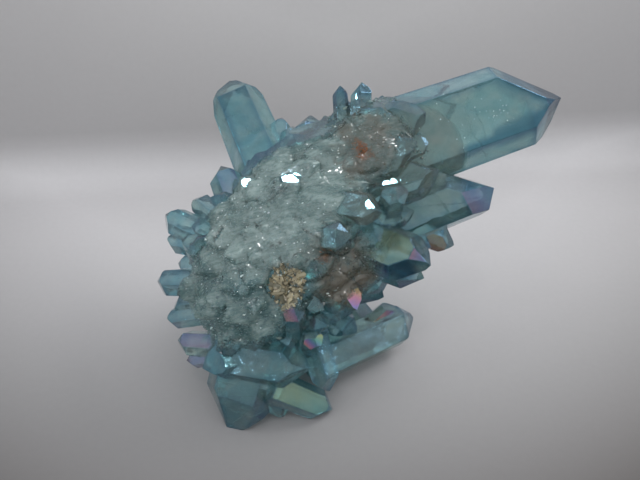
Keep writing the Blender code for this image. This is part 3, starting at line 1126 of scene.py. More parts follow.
# Facets where the film's colours show.
FILM_SPOTS = (
    FilmSpot((5.4, -9.0, 1.7), 1.2, 0.30, (0.0, -0.16, 0.0), 0.7),
    FilmSpot((9.6, -0.5, 2.9), 1.5, 1.2, (-0.03, 0.04, 0.0), 0.10),
    FilmSpot((15.7, 3.7, -2.0), 1.0, 0.85),
    FilmSpot((14.5, -2.4, 4.9), 1.2, 0.40, (0.10, 0.0, 0.0), 0.16),
    FilmSpot((19.0, -0.4, -7.1), 2.0, 0.10, (0.0, -0.10, 0.0), 0.30),
    FilmSpot((11.6, -12.9, -14.4), 1.6, 0.36, (0.12, 0.0, 0.0), 0.35),
    FilmSpot((-1.4, -15.8, 2.9), 1.0, 0.52, (0.22, 0.20, 0.0), 0.85),
    FilmSpot((-0.1, -15.3, 2.6), 1.0, 0.84, (0.20, 0.20, 0.0), 0.85),
    FilmSpot((-4.5, -10.9, 5.1), 1.2, 0.40, (0.10, 0.10, 0.0), 0.28),
    FilmSpot((-3.2, -25.4, -4.7), 1.6, 1.10, (-0.03, 0.05, 0.0), 0.12),
    FilmSpot((25.0, 6.5, 0.6), 1.6, 0.50, (0.04, 0.02, 0.0), 0.10),
    FilmSpot((-20.2, -16.4, -5.7), 1.8, 0.44, (0.0, 0.05, 0.0), 0.12),
    FilmSpot((-14.9, 8.9, -6.8), 1.8, 0.50, (0.0, 0.02, 0.0), 0.08),
    FilmSpot((9.2, -17.7, -12.1), 2.0, 1.25),
    FilmSpot((-14.2, -23.0, -4.1), 1.5, 0.45),
    FilmSpot((-20.8, -21.0, -6.5), 2.2, 0.42, (0.0, 0.03, 0.0), 0.10),
)


@dataclass
class ClusterSurface:
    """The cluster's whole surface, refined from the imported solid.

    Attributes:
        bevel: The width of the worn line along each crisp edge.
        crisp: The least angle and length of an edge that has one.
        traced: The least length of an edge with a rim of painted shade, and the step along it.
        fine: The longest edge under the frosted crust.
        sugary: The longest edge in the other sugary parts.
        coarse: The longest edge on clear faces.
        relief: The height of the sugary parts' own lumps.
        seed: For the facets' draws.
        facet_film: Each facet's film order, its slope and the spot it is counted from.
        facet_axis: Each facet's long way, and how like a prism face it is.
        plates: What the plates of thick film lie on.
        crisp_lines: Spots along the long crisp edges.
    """

    bevel: float = 0.07
    crisp: Pair = (18.0, 0.6)
    traced: Pair = (1.6, 0.3)
    fine: float = 0.385
    sugary: float = 0.95
    coarse: float = 1.1
    relief: float = 0.10
    seed: int = 41
    facet_film: list = field(default_factory=list)
    facet_axis: list = field(default_factory=list)
    plates: list = field(default_factory=list)
    crisp_lines: kdtree.KDTree | None = None

    def weld(self, source: bpy.types.Object) -> bmesh.types.BMesh:
        """The solid as one closed mesh of whole facets."""
        mesh = bmesh.new()
        mesh.from_mesh(source.data)
        bmesh.ops.remove_doubles(mesh, verts=mesh.verts, dist=MM * 0.001)
        bmesh.ops.dissolve_limit(
            mesh, angle_limit=math.radians(0.8), verts=mesh.verts, edges=mesh.edges
        )
        return mesh

    def mark_facets(self, mesh: bmesh.types.BMesh) -> None:
        """Numbers the facets and gives each its film's order and slope."""
        layer = mesh.faces.layers.int.new("facet")
        luck = np.random.default_rng(self.seed)
        self.facet_film, self.facet_axis, self.plates = [], [], []
        turn = LAYOUT.matrix()
        for number, face in enumerate(mesh.faces):
            face[layer] = number
            middle = LAYOUT.to_layout(np.array([face.calc_center_median()]))[0]
            outward = np.array(face.normal) @ turn
            draw = luck.random(5)
            film = 0.66 + 0.08 * noise.noise(Vector(middle) * 0.09)
            film += (draw[0] - 0.5) * 0.10
            if draw[1] > 0.96:
                film = 0.42 + 0.08 * draw[2]
            elif draw[1] < 0.05:
                film = 0.84 + 0.08 * draw[2]
            slope = (draw[2:5] - 0.5) * 0.02
            for spot in FILM_SPOTS:
                gap = np.linalg.norm(middle - np.array(spot.centre))
                if gap < spot.radius and outward[2] > 0.2:
                    film, slope = 0.62 + (spot.film - 0.62) * 0.4, np.array(spot.slope)
                    middle = np.array(spot.centre)
                    corners = [vert.co.copy() for vert in face.verts]
                    if spot.cover:
                        self.plates.append((spot, face.normal.copy(), corners))
                    break
            self.facet_film.append((film, slope, middle))
            self.facet_axis.append(long_way(face))

    def trace_edges(self, mesh: bmesh.types.BMesh) -> None:
        """Samples the long crisp edges, for the painted shade of the rim beside them."""
        angle, length = math.radians(self.crisp[0]), self.traced[0] * MM
        spots = []
        for edge in mesh.edges:
            if not edge.is_manifold or edge.calc_face_angle_signed() < angle:
                continue
            if edge.calc_length() > length:
                start, end = (vert.co for vert in edge.verts)
                steps = int(edge.calc_length() / (self.traced[1] * MM)) + 1
                spots += [start.lerp(end, step / steps) for step in range(steps + 1)]
        self.crisp_lines = kdtree.KDTree(len(spots))
        for number, spot in enumerate(spots):
            self.crisp_lines.insert(spot, number)
        self.crisp_lines.balance()

    def wear_edges(self, mesh: bmesh.types.BMesh) -> None:
        """Cuts a narrow line along each long crisp edge."""
        angle, length = math.radians(self.crisp[0]), self.crisp[1] * MM
        edges = [
            edge
            for edge in mesh.edges
            if edge.is_manifold
            and edge.calc_face_angle_signed() > angle
            and edge.calc_length() > length
        ]
        bmesh.ops.bevel(
            mesh,
            geom=edges,
            offset=self.bevel * MM,
            offset_type="OFFSET",
            segments=1,
            profile=0.5,
            affect="EDGES",
            clamp_overlap=False,
        )

    def split(self, mesh: bmesh.types.BMesh) -> None:
        """Halves long edges until every one is short enough for its place."""
        bmesh.ops.triangulate(mesh, faces=mesh.faces)
        while True:
            edges = list(mesh.edges)
            ends = np.array([[*edge.verts[0].co, *edge.verts[1].co] for edge in edges])
            length = np.linalg.norm(ends[:, :3] - ends[:, 3:], axis=1) / MM
            middle = LAYOUT.to_layout((ends[:, :3] + ends[:, 3:]) / 2)
            sugar = smooth(sugar_at(middle), 0.05, 0.4)
            frost = smooth(crown_at(middle), 0.05, 0.3)
            limit = self.coarse + (self.sugary - self.coarse) * sugar
            limit += (self.fine - limit) * frost
            order = np.argsort(-length, kind="stable")
            order = order[length[order] > limit[order]]
            if not len(order):
                return
            for index in order:
                halve(edges[index])

    def raise_sugar(self, mesh: bpy.types.Mesh) -> None:
        """Lumps the sugary parts along their normals."""
        spots = corners_of(mesh)
        layout = LAYOUT.to_layout(spots)
        sugar = sugar_at(layout)
        normals = np.zeros(len(spots) * 3)
        mesh.vertices.foreach_get("normal", normals)
        lump = ripple(layout, 0.9, 1.3) * 0.6 + ripple(layout, 2.1, 4.2) * 0.4
        height = lump * self.relief * smooth(sugar, 0.1, 0.6) * MM
        height *= 1 - strongest(CALM, layout)
        spots = held_in(spots + normals.reshape(-1, 3) * height[:, None])
        mesh.vertices.foreach_set("co", spots.ravel())
        mesh.update()

    def colour(self, mesh: bpy.types.Mesh) -> None:
        """Gives the surface its film orders and its masks."""
        spots = LAYOUT.to_layout(corners_of(mesh))
        masks = np.stack(
            [sugar_at(spots), strongest(STAIN, spots), strongest(HAZE, spots)], axis=1
        )
        carry_colour(mesh, "masks", masks)
        gaps = np.array([self.crisp_lines.find(vert.co)[2] for vert in mesh.vertices])
        # Painted shade: 'deep' marks the shaded bands and 'rim' the strip beside each crisp edge,
        # both darkened by the quartz's finish.
        carry(
            mesh,
            Domain.POINT,
            rust=strongest(RUST, spots),
            deep=strongest(PAINTED_SHADE_BANDS, spots),
            calm=strongest(CALM, spots),
            rim=1 - smooth(gaps / MM, 0.05, 1.1),
        )
        facets = np.zeros(len(mesh.polygons), int)
        mesh.attributes["facet"].data.foreach_get("value", facets)
        verts = np.zeros(len(mesh.loops), int)
        mesh.loops.foreach_get("vertex_index", verts)
        owner = np.repeat(facets, 3)
        film = np.array([entry[0] for entry in self.facet_film])
        slope = np.array([entry[1] for entry in self.facet_film])
        middle = np.array([entry[2] for entry in self.facet_film])
        gap = spots[verts] - middle[owner]
        order = film[owner] + np.sum(gap * slope[owner], axis=1)
        axis = np.array([list(entry[0]) for entry in self.facet_axis])
        lined = np.array([entry[1] for entry in self.facet_axis])
        rise = np.sum(corners_of(mesh)[verts] * axis[owner], axis=1) / MM
        order = np.clip(order, 0.0, 1.0)
        carry(mesh, Domain.CORNER, film=order, rise=rise, lined=lined[owner])

    def build(
        self, source: bpy.types.Object, material: bpy.types.Material
    ) -> bpy.types.Object:
        """Makes the surface.

        Args:
            source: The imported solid's object, which is only read.
            material: The quartz's finish.

        Returns:
            The finished piece.
        """
        mesh = self.weld(source)
        self.mark_facets(mesh)
        self.trace_edges(mesh)
        self.wear_edges(mesh)
        self.split(mesh)
        data = bpy.data.meshes.new("quartz_points")
        mesh.to_mesh(data)
        mesh.free()
        self.raise_sugar(data)
        self.colour(data)
        made = new_object("quartz_points", data, material)
        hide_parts(NODE)
        return settle(made)


def long_way(face: bmesh.types.BMFace) -> tuple[Vector, float]:
    """The direction of a facet's longest edge, and how like a prism face it is."""
    edge = max(face.edges, key=lambda side: side.calc_length())
    along = (edge.verts[1].co - edge.verts[0].co).normalized()
    if along.x < 0:
        along = -along
    spread = [vert.co.dot(along) for vert in face.verts]
    length = max(spread) - min(spread)
    breadth = face.calc_area() / max(length, 1e-9)
    lined = min(1.0, max(0.0, (length / max(breadth, 1e-9) - 1.2) / 0.8))
    return along, lined if length > 2.0 * MM else 0.0


def sugar_at(spots: np.ndarray) -> np.ndarray:
    """How sugary the quartz is at layout spots, from 0 to 1."""
    sugar = np.zeros(len(spots))
    for lump in LUMPS:
        near = 1 - smooth(lump.outside(spots), -0.3, 2.4)
        sugar = np.maximum(sugar, near * lump.sugar)
    return np.maximum(sugar, crown_at(spots))


def crown_at(spots: np.ndarray) -> np.ndarray:
    """How frosted the quartz is at layout spots, from 0 to 1."""
    frost = np.zeros(len(spots))
    gap = np.minimum(LUMPS[0].outside(spots), LUMPS[1].outside(spots))
    near = 1 - smooth(gap, 0.8, 3.2)
    for crown in CROWNS:
        inside = 1 - smooth(crown.outside(spots), -3.0, 1.5)
        frost = np.maximum(frost, inside * near * crown.sugar)
    return frost


def halve(edge: bmesh.types.BMEdge) -> None:
    """Splits an edge at its middle and each of its triangles with it."""
    faces = list(edge.link_faces)
    _, middle = bmesh.utils.edge_split(edge, edge.verts[0], 0.5)
    for face in faces:
        near = {link.other_vert(middle) for link in middle.link_edges}
        far = next(vert for vert in face.verts if vert is not middle and vert not in near)
        bmesh.utils.face_split(face, middle, far)


@dataclass
class FrostCrust:
    """The frosted crust: a closed sheet of fine sugar that lies on the mass.

    Attributes:
        level: How frosted the quartz is where the crust begins.
        rise: How far the crust stands above the quartz.
        ridge: The height of its fine parallel ridges.
        lump: The height of its rounded lumps.
        depth: How far it reaches below the quartz.
        heading: The direction of the ridges, in degrees from X towards Y.
        rounds: How many times its sheet is evened out.
        tuck: How far its rim reaches below the quartz.
        top: How many triangles its upper side has, once it is built.
    """

    level: float = 0.22
    rise: float = 0.14
    ridge: float = 0.05
    lump: float = 0.025
    depth: float = 0.30
    heading: float = 17.0
    rounds: int = 170
    tuck: float = 0.06
    top: int = 0

    def amount(self, spots: np.ndarray) -> np.ndarray:
        """How much crust there is at layout spots, with a ragged edge."""
        ragged = ripple(spots, 0.5, 5.0) * 0.16 + ripple(spots, 1.6, 9.0) * 0.10
        return (crown_at(spots) + ragged) * (1 - strongest(BARE, spots))

    def height(self, spots: np.ndarray) -> np.ndarray:
        """The crust's own relief at layout spots, in millimetres."""
        turn = math.radians(self.heading)
        along = spots[:, 0] * math.cos(turn) + spots[:, 1] * math.sin(turn)
        across = spots[:, 1] * math.cos(turn) - spots[:, 0] * math.sin(turn)
        combed = np.stack([along * 0.55, across * 1.7, spots[:, 2] * 1.7], axis=1)
        ridges = ripple(combed, 1.0, 2.0) * 0.6 + ripple(combed, 2.1, 6.0) * 0.4
        lumps = ripple(spots, 0.55, 8.0) * 0.6 + ripple(spots, 1.3, 3.0) * 0.4
        return ridges * self.ridge + lumps * self.lump

    def evened(
        self, spots: np.ndarray, normals: np.ndarray, tris: np.ndarray, share: np.ndarray
    ) -> np.ndarray:
        """The sheet drawn tight over the mass, so that its creases are filled.

        Args:
            spots: The sheet's vertices.
            normals: Their normals.
            tris: Its triangles.
            share: How much each vertex may move, from 0 to 1.

        Returns:
            The moved vertices.
        """
        links = np.unique(np.sort(sides_of(tris), axis=1), axis=0)
        first, second = links.T
        many = np.bincount(links.ravel(), minlength=len(spots))[:, None]
        moved = spots.copy()
        for _ in range(self.rounds):
            total = np.zeros_like(moved)
            np.add.at(total, first, moved[second])
            np.add.at(total, second, moved[first])
            moved += (total / many - moved) * (0.6 * share[:, None])
            sunk = np.minimum(np.sum((moved - spots) * normals, axis=1), 0.0)
            moved -= sunk[:, None] * normals
        return moved

    def footprint(
        self, mesh: bpy.types.Mesh, amount: np.ndarray
    ) -> tuple[np.ndarray, np.ndarray, np.ndarray]:
        """The part of the surface that the crust covers.

        Args:
            mesh: The cluster's refined surface.
            amount: How much crust there is at each of its vertices.

        Returns:
            The vertices in use, and the triangles and the open sides among them.
        """
        count = len(mesh.vertices)
        tris = np.zeros(len(mesh.polygons) * 3, int)
        mesh.polygons.foreach_get("vertices", tris)
        tris = tris.reshape(-1, 3)
        tris = tris[amount[tris].min(axis=1) > self.level]
        sides = sides_of(tris)
        keys = sides[:, 0] * count + sides[:, 1]
        back = sides[:, 1] * count + sides[:, 0]
        rim = sides[~np.isin(keys, back)]
        used, inverse = np.unique(tris, return_inverse=True)
        place = np.full(count, -1)
        place[used] = np.arange(len(used))
        return used, inverse.reshape(-1, 3), place[rim]

    def build(
        self, surface: bpy.types.Object, material: bpy.types.Material
    ) -> bpy.types.Object:
        """Grows the crust.

        Args:
            surface: The cluster's refined surface.
            material: The crust's finish.

        Returns:
            The finished piece.
        """
        mesh = surface.data
        spots = corners_of(mesh)
        normals = np.zeros(len(mesh.vertices) * 3)
        mesh.vertices.foreach_get("normal", normals)
        normals = normals.reshape(-1, 3)
        layout = LAYOUT.to_layout(spots)
        amount = self.amount(layout)
        used, tris, rim = self.footprint(mesh, amount)

        swell = smooth(amount[used], self.level, self.level + 0.25)
        swell[np.unique(rim)] = 0.0
        layout = layout[used]
        even = self.evened(spots[used], normals[used], tris, swell)
        lift = swell * (self.rise + self.height(layout)) - self.tuck * (1 - swell)
        top = even + normals[used] * (lift * MM)[:, None]
        bottom = spots[used] - normals[used] * self.depth * MM
        corners = held_in(np.vstack([top, bottom]))
        under = len(used)
        walls = np.column_stack([rim[:, 1], rim[:, 0], rim[:, 0] + under, rim[:, 1] + under])
        faces = tris.tolist() + (tris[:, ::-1] + under).tolist() + walls.tolist()
        data = mesh_of("frost_crust", corners.tolist(), faces)
        data.shade_smooth()
        carry(
            data,
            Domain.POINT,
            stain=np.tile(np.clip(strongest(STAIN, layout) * 1.15, 0, 1), 2),
            cover=np.tile(smooth(amount[used], self.level, 0.9), 2),
            rust=np.tile(strongest(RUST, layout), 2),
        )
        self.top = len(tris)
        return settle(new_object("frost_crust", data, material))


def sides_of(tris: np.ndarray) -> np.ndarray:
    """The three sides of each triangle, as pairs of corners."""
    return np.concatenate([tris[:, [0, 1]], tris[:, [1, 2]], tris[:, [2, 0]]])


def lay_film(plates: list, material: bpy.types.Material) -> bpy.types.Object:
    """Lays the thick film's plates on their facets, as one piece.

    Args:
        plates: A spot, a normal and the facet's corners for each.
        material: The thick film's finish.

    Returns:
        The finished piece.
    """
    spots, faces, film, cover = [], [], [], []
    for spot, normal, corners in plates:
        middle = sum(corners, Vector()) / len(corners)
        ring = [middle + (corner - middle) * 0.97 for corner in corners]
        first = len(spots)
        for side in (0.020, 0.004):
            for corner in ring:
                raised = held_in(np.array(corner + normal * side * MM)).tolist()
                gap = LAYOUT.to_layout(np.array([raised]))[0] - np.array(spot.centre)
                film.append(float(np.clip(spot.film + gap @ np.array(spot.slope), 0, 1)))
                cover.append(spot.cover)
                spots.append(raised)
        many = len(ring)
        faces.append([first + k for k in range(many)])
        faces.append([first + many + k for k in reversed(range(many))])
        for k in range(many):
            n = (k + 1) % many
            faces.append([first + n, first + k, first + many + k, first + many + n])
    data = mesh_of("thick_film", spots, faces)
    carry(data, Domain.POINT, film=film, cover=cover)
    return settle(new_object("thick_film", data, material))


# --- grains -------------------------------------------------------------------------
class Ground(Enum):
    """What a bed of grains stands on."""

    QUARTZ = "quartz"
    CRUST = "crust"


def grain_shape() -> tuple[np.ndarray, np.ndarray]:
    """A unit grain: its corners and its triangles, closed and facing out."""
    rise = (0.30, 0.62)
    around = np.radians(np.arange(6) * 60.0)
    ring = np.stack([np.cos(around), np.sin(around)], axis=1)
    low = np.column_stack([ring, np.full(6, -0.9)])
    high = np.column_stack([ring, [rise[k % 2] for k in range(6)]])
    corners = np.vstack([low, high, [[0, 0, 1.25]], [[0, 0, -1.3]]])
    faces = []
    for k in range(6):
        n = (k + 1) % 6
        faces += [(k, n, 6 + n), (k, 6 + n, 6 + k), (6 + k, 6 + n, 12), (n, k, 13)]
    return corners, np.array(faces)


@dataclass
class GrainBed:
    """Many small crystals seated on the cluster's surface as one joined mesh.

    Attributes:
        name: The piece's name.
        count: How many grains.
        width: The range of a grain's radius.
        stretch: The range of a grain's length against its width.
        lie: How far grains lean over along the growth direction.
        sink: How deep a grain's middle sits, as a share of its length.
        seed: For the draws.
        heading: Which way they lean, in degrees from X towards Y.
        spread: How far their directions scatter.
        lowest: How high above the table they begin.
        ground: What they stand on.
    """

    name: str
    count: int
    width: Pair
    stretch: Pair
    lie: float
    sink: float
    seed: int
    heading: float = 15.0
    spread: float = 0.22
    lowest: float = 1.2
    ground: ClassVar[Ground] = Ground.QUARTZ

    def weight(self, spots: np.ndarray, outward: np.ndarray) -> np.ndarray:
        """How likely a grain is on each facet, by its middle and normal."""
        raise NotImplementedError

    def seats(self, tris: np.ndarray) -> tuple[np.ndarray, np.ndarray]:
        """Draws the grains' seats on some triangles.

        Args:
            tris: The corners of each triangle, in the layout frame.

        Returns:
            The seats and the normals there, in the layout frame.
        """
        luck = np.random.default_rng(self.seed)
        sides = np.cross(tris[:, 1] - tris[:, 0], tris[:, 2] - tris[:, 0])
        area = np.linalg.norm(sides, axis=1)
        outward = sides / np.maximum(area, 1e-12)[:, None]
        share = area * self.weight(tris.mean(axis=1), outward)
        picks = luck.choice(len(tris), self.count * 2, p=share / share.sum())
        first, second = luck.random((2, self.count * 2))
        flip = first + second > 1
        first[flip], second[flip] = 1 - first[flip], 1 - second[flip]
        chosen = tris[picks]
        seats = (
            chosen[:, 0]
            + first[:, None] * (chosen[:, 1] - chosen[:, 0])
            + second[:, None] * (chosen[:, 2] - chosen[:, 0])
        )
        keep = self.weight(seats, outward[picks]) > luck.random(len(seats)) * 0.9
        keep &= LAYOUT.to_row(seats)[:, 2] > self.lowest * MM
        return seats[keep][: self.count], outward[picks][keep][: self.count]

    def build(self, tris: np.ndarray, material: bpy.types.Material) -> bpy.types.Object:
        """Grows the bed.

        Args:
            tris: The corners of each triangle it may stand on.
            material: The grains' finish.

        Returns:
            The finished piece.
        """
        seats, outward = self.seats(tris)
        luck = np.random.default_rng(self.seed + 1)
        count = len(seats)
        turn = np.radians(self.heading + luck.normal(0, 16, count))
        along = np.stack([np.cos(turn), np.sin(turn), np.zeros(count)], axis=1)
        growth = outward + along * (self.lie * luck.uniform(0.6, 1.4, count))[:, None]
        growth += luck.normal(0, self.spread, (count, 3))
        growth /= np.linalg.norm(growth, axis=1)[:, None]
        spare = luck.normal(0, 1, (count, 3))
        across = np.cross(growth, spare)
        across /= np.linalg.norm(across, axis=1)[:, None]
        beside = np.cross(growth, across)
        size = self.width[0] + (self.width[1] - self.width[0]) * luck.random(count) ** 2.2
        flat = luck.uniform(0.65, 1.0, count)
        length = size * luck.uniform(*self.stretch, count)

        shape, faces = grain_shape()
        skew = luck.normal(0, 0.12, (count, 2))
        x = shape[None, :, 0] + skew[:, :1] * (shape[None, :, 2] > 1)
        y = shape[None, :, 1] + skew[:, 1:] * (shape[None, :, 2] > 1)
        spots = (
            seats[:, None, :]
            + across[:, None, :] * (x * size[:, None])[:, :, None]
            + beside[:, None, :] * (y * (size * flat)[:, None])[:, :, None]
            + growth[:, None, :]
            * ((shape[None, :, 2] - self.sink) * length[:, None])[:, :, None]
        )
        corners = held_in(LAYOUT.to_row(spots.reshape(-1, 3)))
        every = (faces[None] + (np.arange(count) * len(shape))[:, None, None]).reshape(-1, 3)
        data = mesh_of(self.name, corners.tolist(), every.tolist())
        self.colour(data, seats, len(shape), luck)
        return settle(new_object(self.name, data, material))

    def tones(self, seats: np.ndarray, luck: np.random.Generator) -> np.ndarray:
        """How pale each grain is, from 0 to 1."""
        return luck.random(len(seats))

    def colour(
        self, mesh: bpy.types.Mesh, seats: np.ndarray, each: int, luck: np.random.Generator
    ) -> None:
        """Gives every grain its own tone, film order and stains.

        Args:
            mesh: The joined mesh.
            seats: The grains' seats.
            each: How many corners a grain has.
            luck: For the draws.
        """
        count = len(seats)
        tone = self.tones(seats, luck)
        film = np.clip(0.6 + luck.normal(0, 0.16, count), 0, 1)
        stain = np.clip(strongest(STAIN, seats) * luck.uniform(0.5, 1.3, count), 0, 1)
        grains = {"tone": tone, "film": film, "stain": stain, "rust": strongest(RUST, seats)}
        grains = {name: np.repeat(values, each) for name, values in grains.items()}
        carry(mesh, Domain.POINT, **grains)


class FaceDruse(GrainBed):
    """The wet, shining grains of the frosted crust."""

    ground = Ground.CRUST

    def tones(self, seats: np.ndarray, luck: np.random.Generator) -> np.ndarray:
        """Pale in the middle of the crust and deep towards its edge."""
        pale = smooth(crown_at(seats), 0.2, 0.95)
        return np.clip(pale * 0.8 + luck.normal(0, 0.20, len(seats)), 0, 1)

    def weight(self, spots: np.ndarray, outward: np.ndarray) -> np.ndarray:
        """Densest on the crust's thick middle, and sparser down its sides."""
        facing = 0.3 + 0.7 * smooth(outward[:, 2], -0.3, 0.3)
        return facing * (0.4 + 0.6 * smooth(crown_at(spots), 0.3, 0.9))


class SparkDruse(GrainBed):
    """Tiny grains scattered over the main point's broad face."""

    def weight(self, spots: np.ndarray, outward: np.ndarray) -> np.ndarray:
        """A knot of them near the end, and a thin scatter towards the root."""
        knot = Patch((27.6, 19.3, 2.5), 1.8, 2.0, 1.0).at(spots)
        scatter = Patch((20.5, 19.0, 2.5), 5.0, 4.0, 0.22).at(spots)
        return np.maximum(knot, scatter) * smooth(outward[:, 2], 0.3, 0.6)


class CollarDruse(GrainBed):
    """Coarser stained grains where the main point leaves the mass."""

    def weight(self, spots: np.ndarray, outward: np.ndarray) -> np.ndarray:
        """On the shoulder and round the stains only."""
        near = 1 - smooth(LUMPS[1].outside(spots), 0.2, 2.2)
        return near * smooth(outward[:, 2], -0.4, 0.2)


class HollowDruse(GrainBed):
    """Sharp golden grains that line the pit."""

    def weight(self, spots: np.ndarray, outward: np.ndarray) -> np.ndarray:
        """In and round the pit, which is taller than wide."""
        pit = Lump((-5.0, -6.9, 2.5), (7.6, 5.2, 18.0), 80.0, 1.0)
        return 1 - smooth(pit.outside(spots) + ripple(spots, 0.9, 2.0) * 0.5, -0.6, 0.5)


class RimDruse(GrainBed):
    """Fine grains in the creases between points, all round."""

    def weight(self, spots: np.ndarray, outward: np.ndarray) -> np.ndarray:
        """Close to every mass, but for the broad face."""
        sugar = sugar_at(spots) * (1 - strongest(BARE, spots))
        return smooth(sugar, 0.2, 0.6) * (1 - 0.7 * smooth(outward[:, 2], 0.0, 0.5))


# The grains' finishes, and each bed of grains with its finish.
SUGAR = Druse("sugar_druse", (0.56, 0.66, 0.63), (0.30, 0.44, 0.42), (0.24, 0.21, 0.15), 0.5)
SHINE = Druse("frost_grains", (0.46, 0.58, 0.56), (0.14, 0.26, 0.26), (0.16, 0.14, 0.10), 0.4)
# Painted glints: near-white grains coloured to stand in for glints; they also catch real lamp
# highlights.
PAINTED_GLINTS = Druse("painted_glint_grains", (0.90, 0.94, 0.93), (0.70, 0.82, 0.82), (0.6, 0.6, 0.55), 0.0)
GOLDEN = Druse(
    "golden_druse",
    pale=(0.98, 0.84, 0.56),
    deep=(0.07, 0.045, 0.02),
    stain=(0.50, 0.36, 0.15),
    clearness=0.35,
    stained=0.5,
    dulled=0.03,
    aqua=0.24,
)

BEDS = (
    (FaceDruse("face_druse", 8000, (0.04, 0.115), (1.1, 2.3), 1.8, 0.70, 11), SHINE),
    # Painted glints: the beds with the near-white finish stand in for glints.
    (FaceDruse("face_painted_glints", 240, (0.05, 0.17), (1.0, 2.0), 1.2, 0.40, 15), PAINTED_GLINTS),
    (CollarDruse("collar_druse", 500, (0.08, 0.34), (0.9, 1.8), 0.7, 0.6, 21), SUGAR),
    (RimDruse("rim_druse", 2600, (0.10, 0.42), (1.0, 2.0), 0.3, 0.5, 31), SUGAR),
    (SparkDruse("main_face_painted_glints", 90, (0.05, 0.13), (0.8, 1.2), 0.0, 0.3, 61), PAINTED_GLINTS),
    (HollowDruse("hollow_druse", 420, (0.13, 0.46), (1.0, 2.2), 0.0, 0.3, 51, spread=0.5), GOLDEN),
    (HollowDruse("hollow_painted_glints", 60, (0.10, 0.24), (0.8, 1.4), 0.0, 0.1, 55, spread=0.5), PAINTED_GLINTS),
)


# --- inside the clear points -----------------------------------------------------------
# Each crack's middle, the way it faces, its two radii and its dish.
CRACKS = (
    ((24.5, 18.2, -2.4), (0.8, 0.3, 0.5), (4.6, 2.4), 0.9),
    ((30.6, 20.0, -2.0), (-0.6, 0.5, 0.7), (2.4, 1.5), 0.5),
    ((20.0, 17.6, -2.6), (0.2, 0.9, 0.5), (4.4, 2.0), 0.6),
    ((19.5, 6.4, -4.0), (0.7, 0.5, 0.5), (3.2, 1.8), 0.6),
    ((-13.2, 19.5, -14.0), (0.3, 0.7, 0.6), (3.4, 2.6), 0.7),
    ((9.0, -16.6, -15.5), (0.6, -0.4, 0.7), (3.4, 1.8), 0.6),
    ((-13.5, -26.0, -7.6), (0.4, 0.6, 0.7), (3.8, 2.6), 0.8),
    ((-8.5, -19.0, -4.0), (0.9, 0.2, 0.4), (2.8, 1.6), 0.5),
    ((11.0, -1.4, -0.4), (0.8, -0.3, 0.5), (2.8, 1.8), 0.5),
)


@dataclass
class InnerVeil:
    """A curved healed crack inside a clear point.

    Attributes:
        name: The piece's name.
        centre: Its middle, in the layout frame.
        facing: The direction it faces, in the layout frame.
        size: Its two radii.
        dish: How far its middle is pushed out.
        rings: How many rings of corners it has.
        spokes: How many corners a ring has.
    """

    name: str
    centre: Spot
    facing: Spot
    size: Pair
    dish: float
    rings: int = 9
    spokes: int = 28

    def build(self, material: bpy.types.Material) -> bpy.types.Object:
        """Makes the veil and returns its piece."""
        middle = Vector(self.centre)
        out = Vector(self.facing).normalized()
        across = out.cross(Vector((0, 0, 1))).normalized()
        beside = out.cross(across)
        spots, edge = [middle + out * self.dish], [0.0]
        for ring in range(1, self.rings + 1):
            share = ring / self.rings
            for spoke in range(self.spokes):
                turn = math.tau * spoke / self.spokes
                ragged = 1 + 0.22 * noise.noise(Vector((math.cos(turn), math.sin(turn), 3)) * 2)
                flat = across * (math.cos(turn) * self.size[0] * share * ragged)
                flat += beside * (math.sin(turn) * self.size[1] * share * ragged)
                wave = noise.noise((middle + flat) * 0.5) * 0.5
                spots.append(middle + flat + out * (self.dish * (1 - share**2) + wave))
                edge.append(0.6 if ring == self.rings else 0.0)
        faces = []
        for spoke in range(self.spokes):
            after = (spoke + 1) % self.spokes
            faces.append((0, 1 + spoke, 1 + after))
            for ring in range(self.rings - 1):
                near = 1 + ring * self.spokes
                far = near + self.spokes
                faces.append((near + spoke, far + spoke, far + after, near + after))
        corners = LAYOUT.to_row(np.array([list(spot) for spot in spots]))
        data = mesh_of(self.name, corners.tolist(), faces)
        data.shade_smooth()
        carry(data, Domain.POINT, edge=edge)
        return settle(new_object(self.name, data, material))


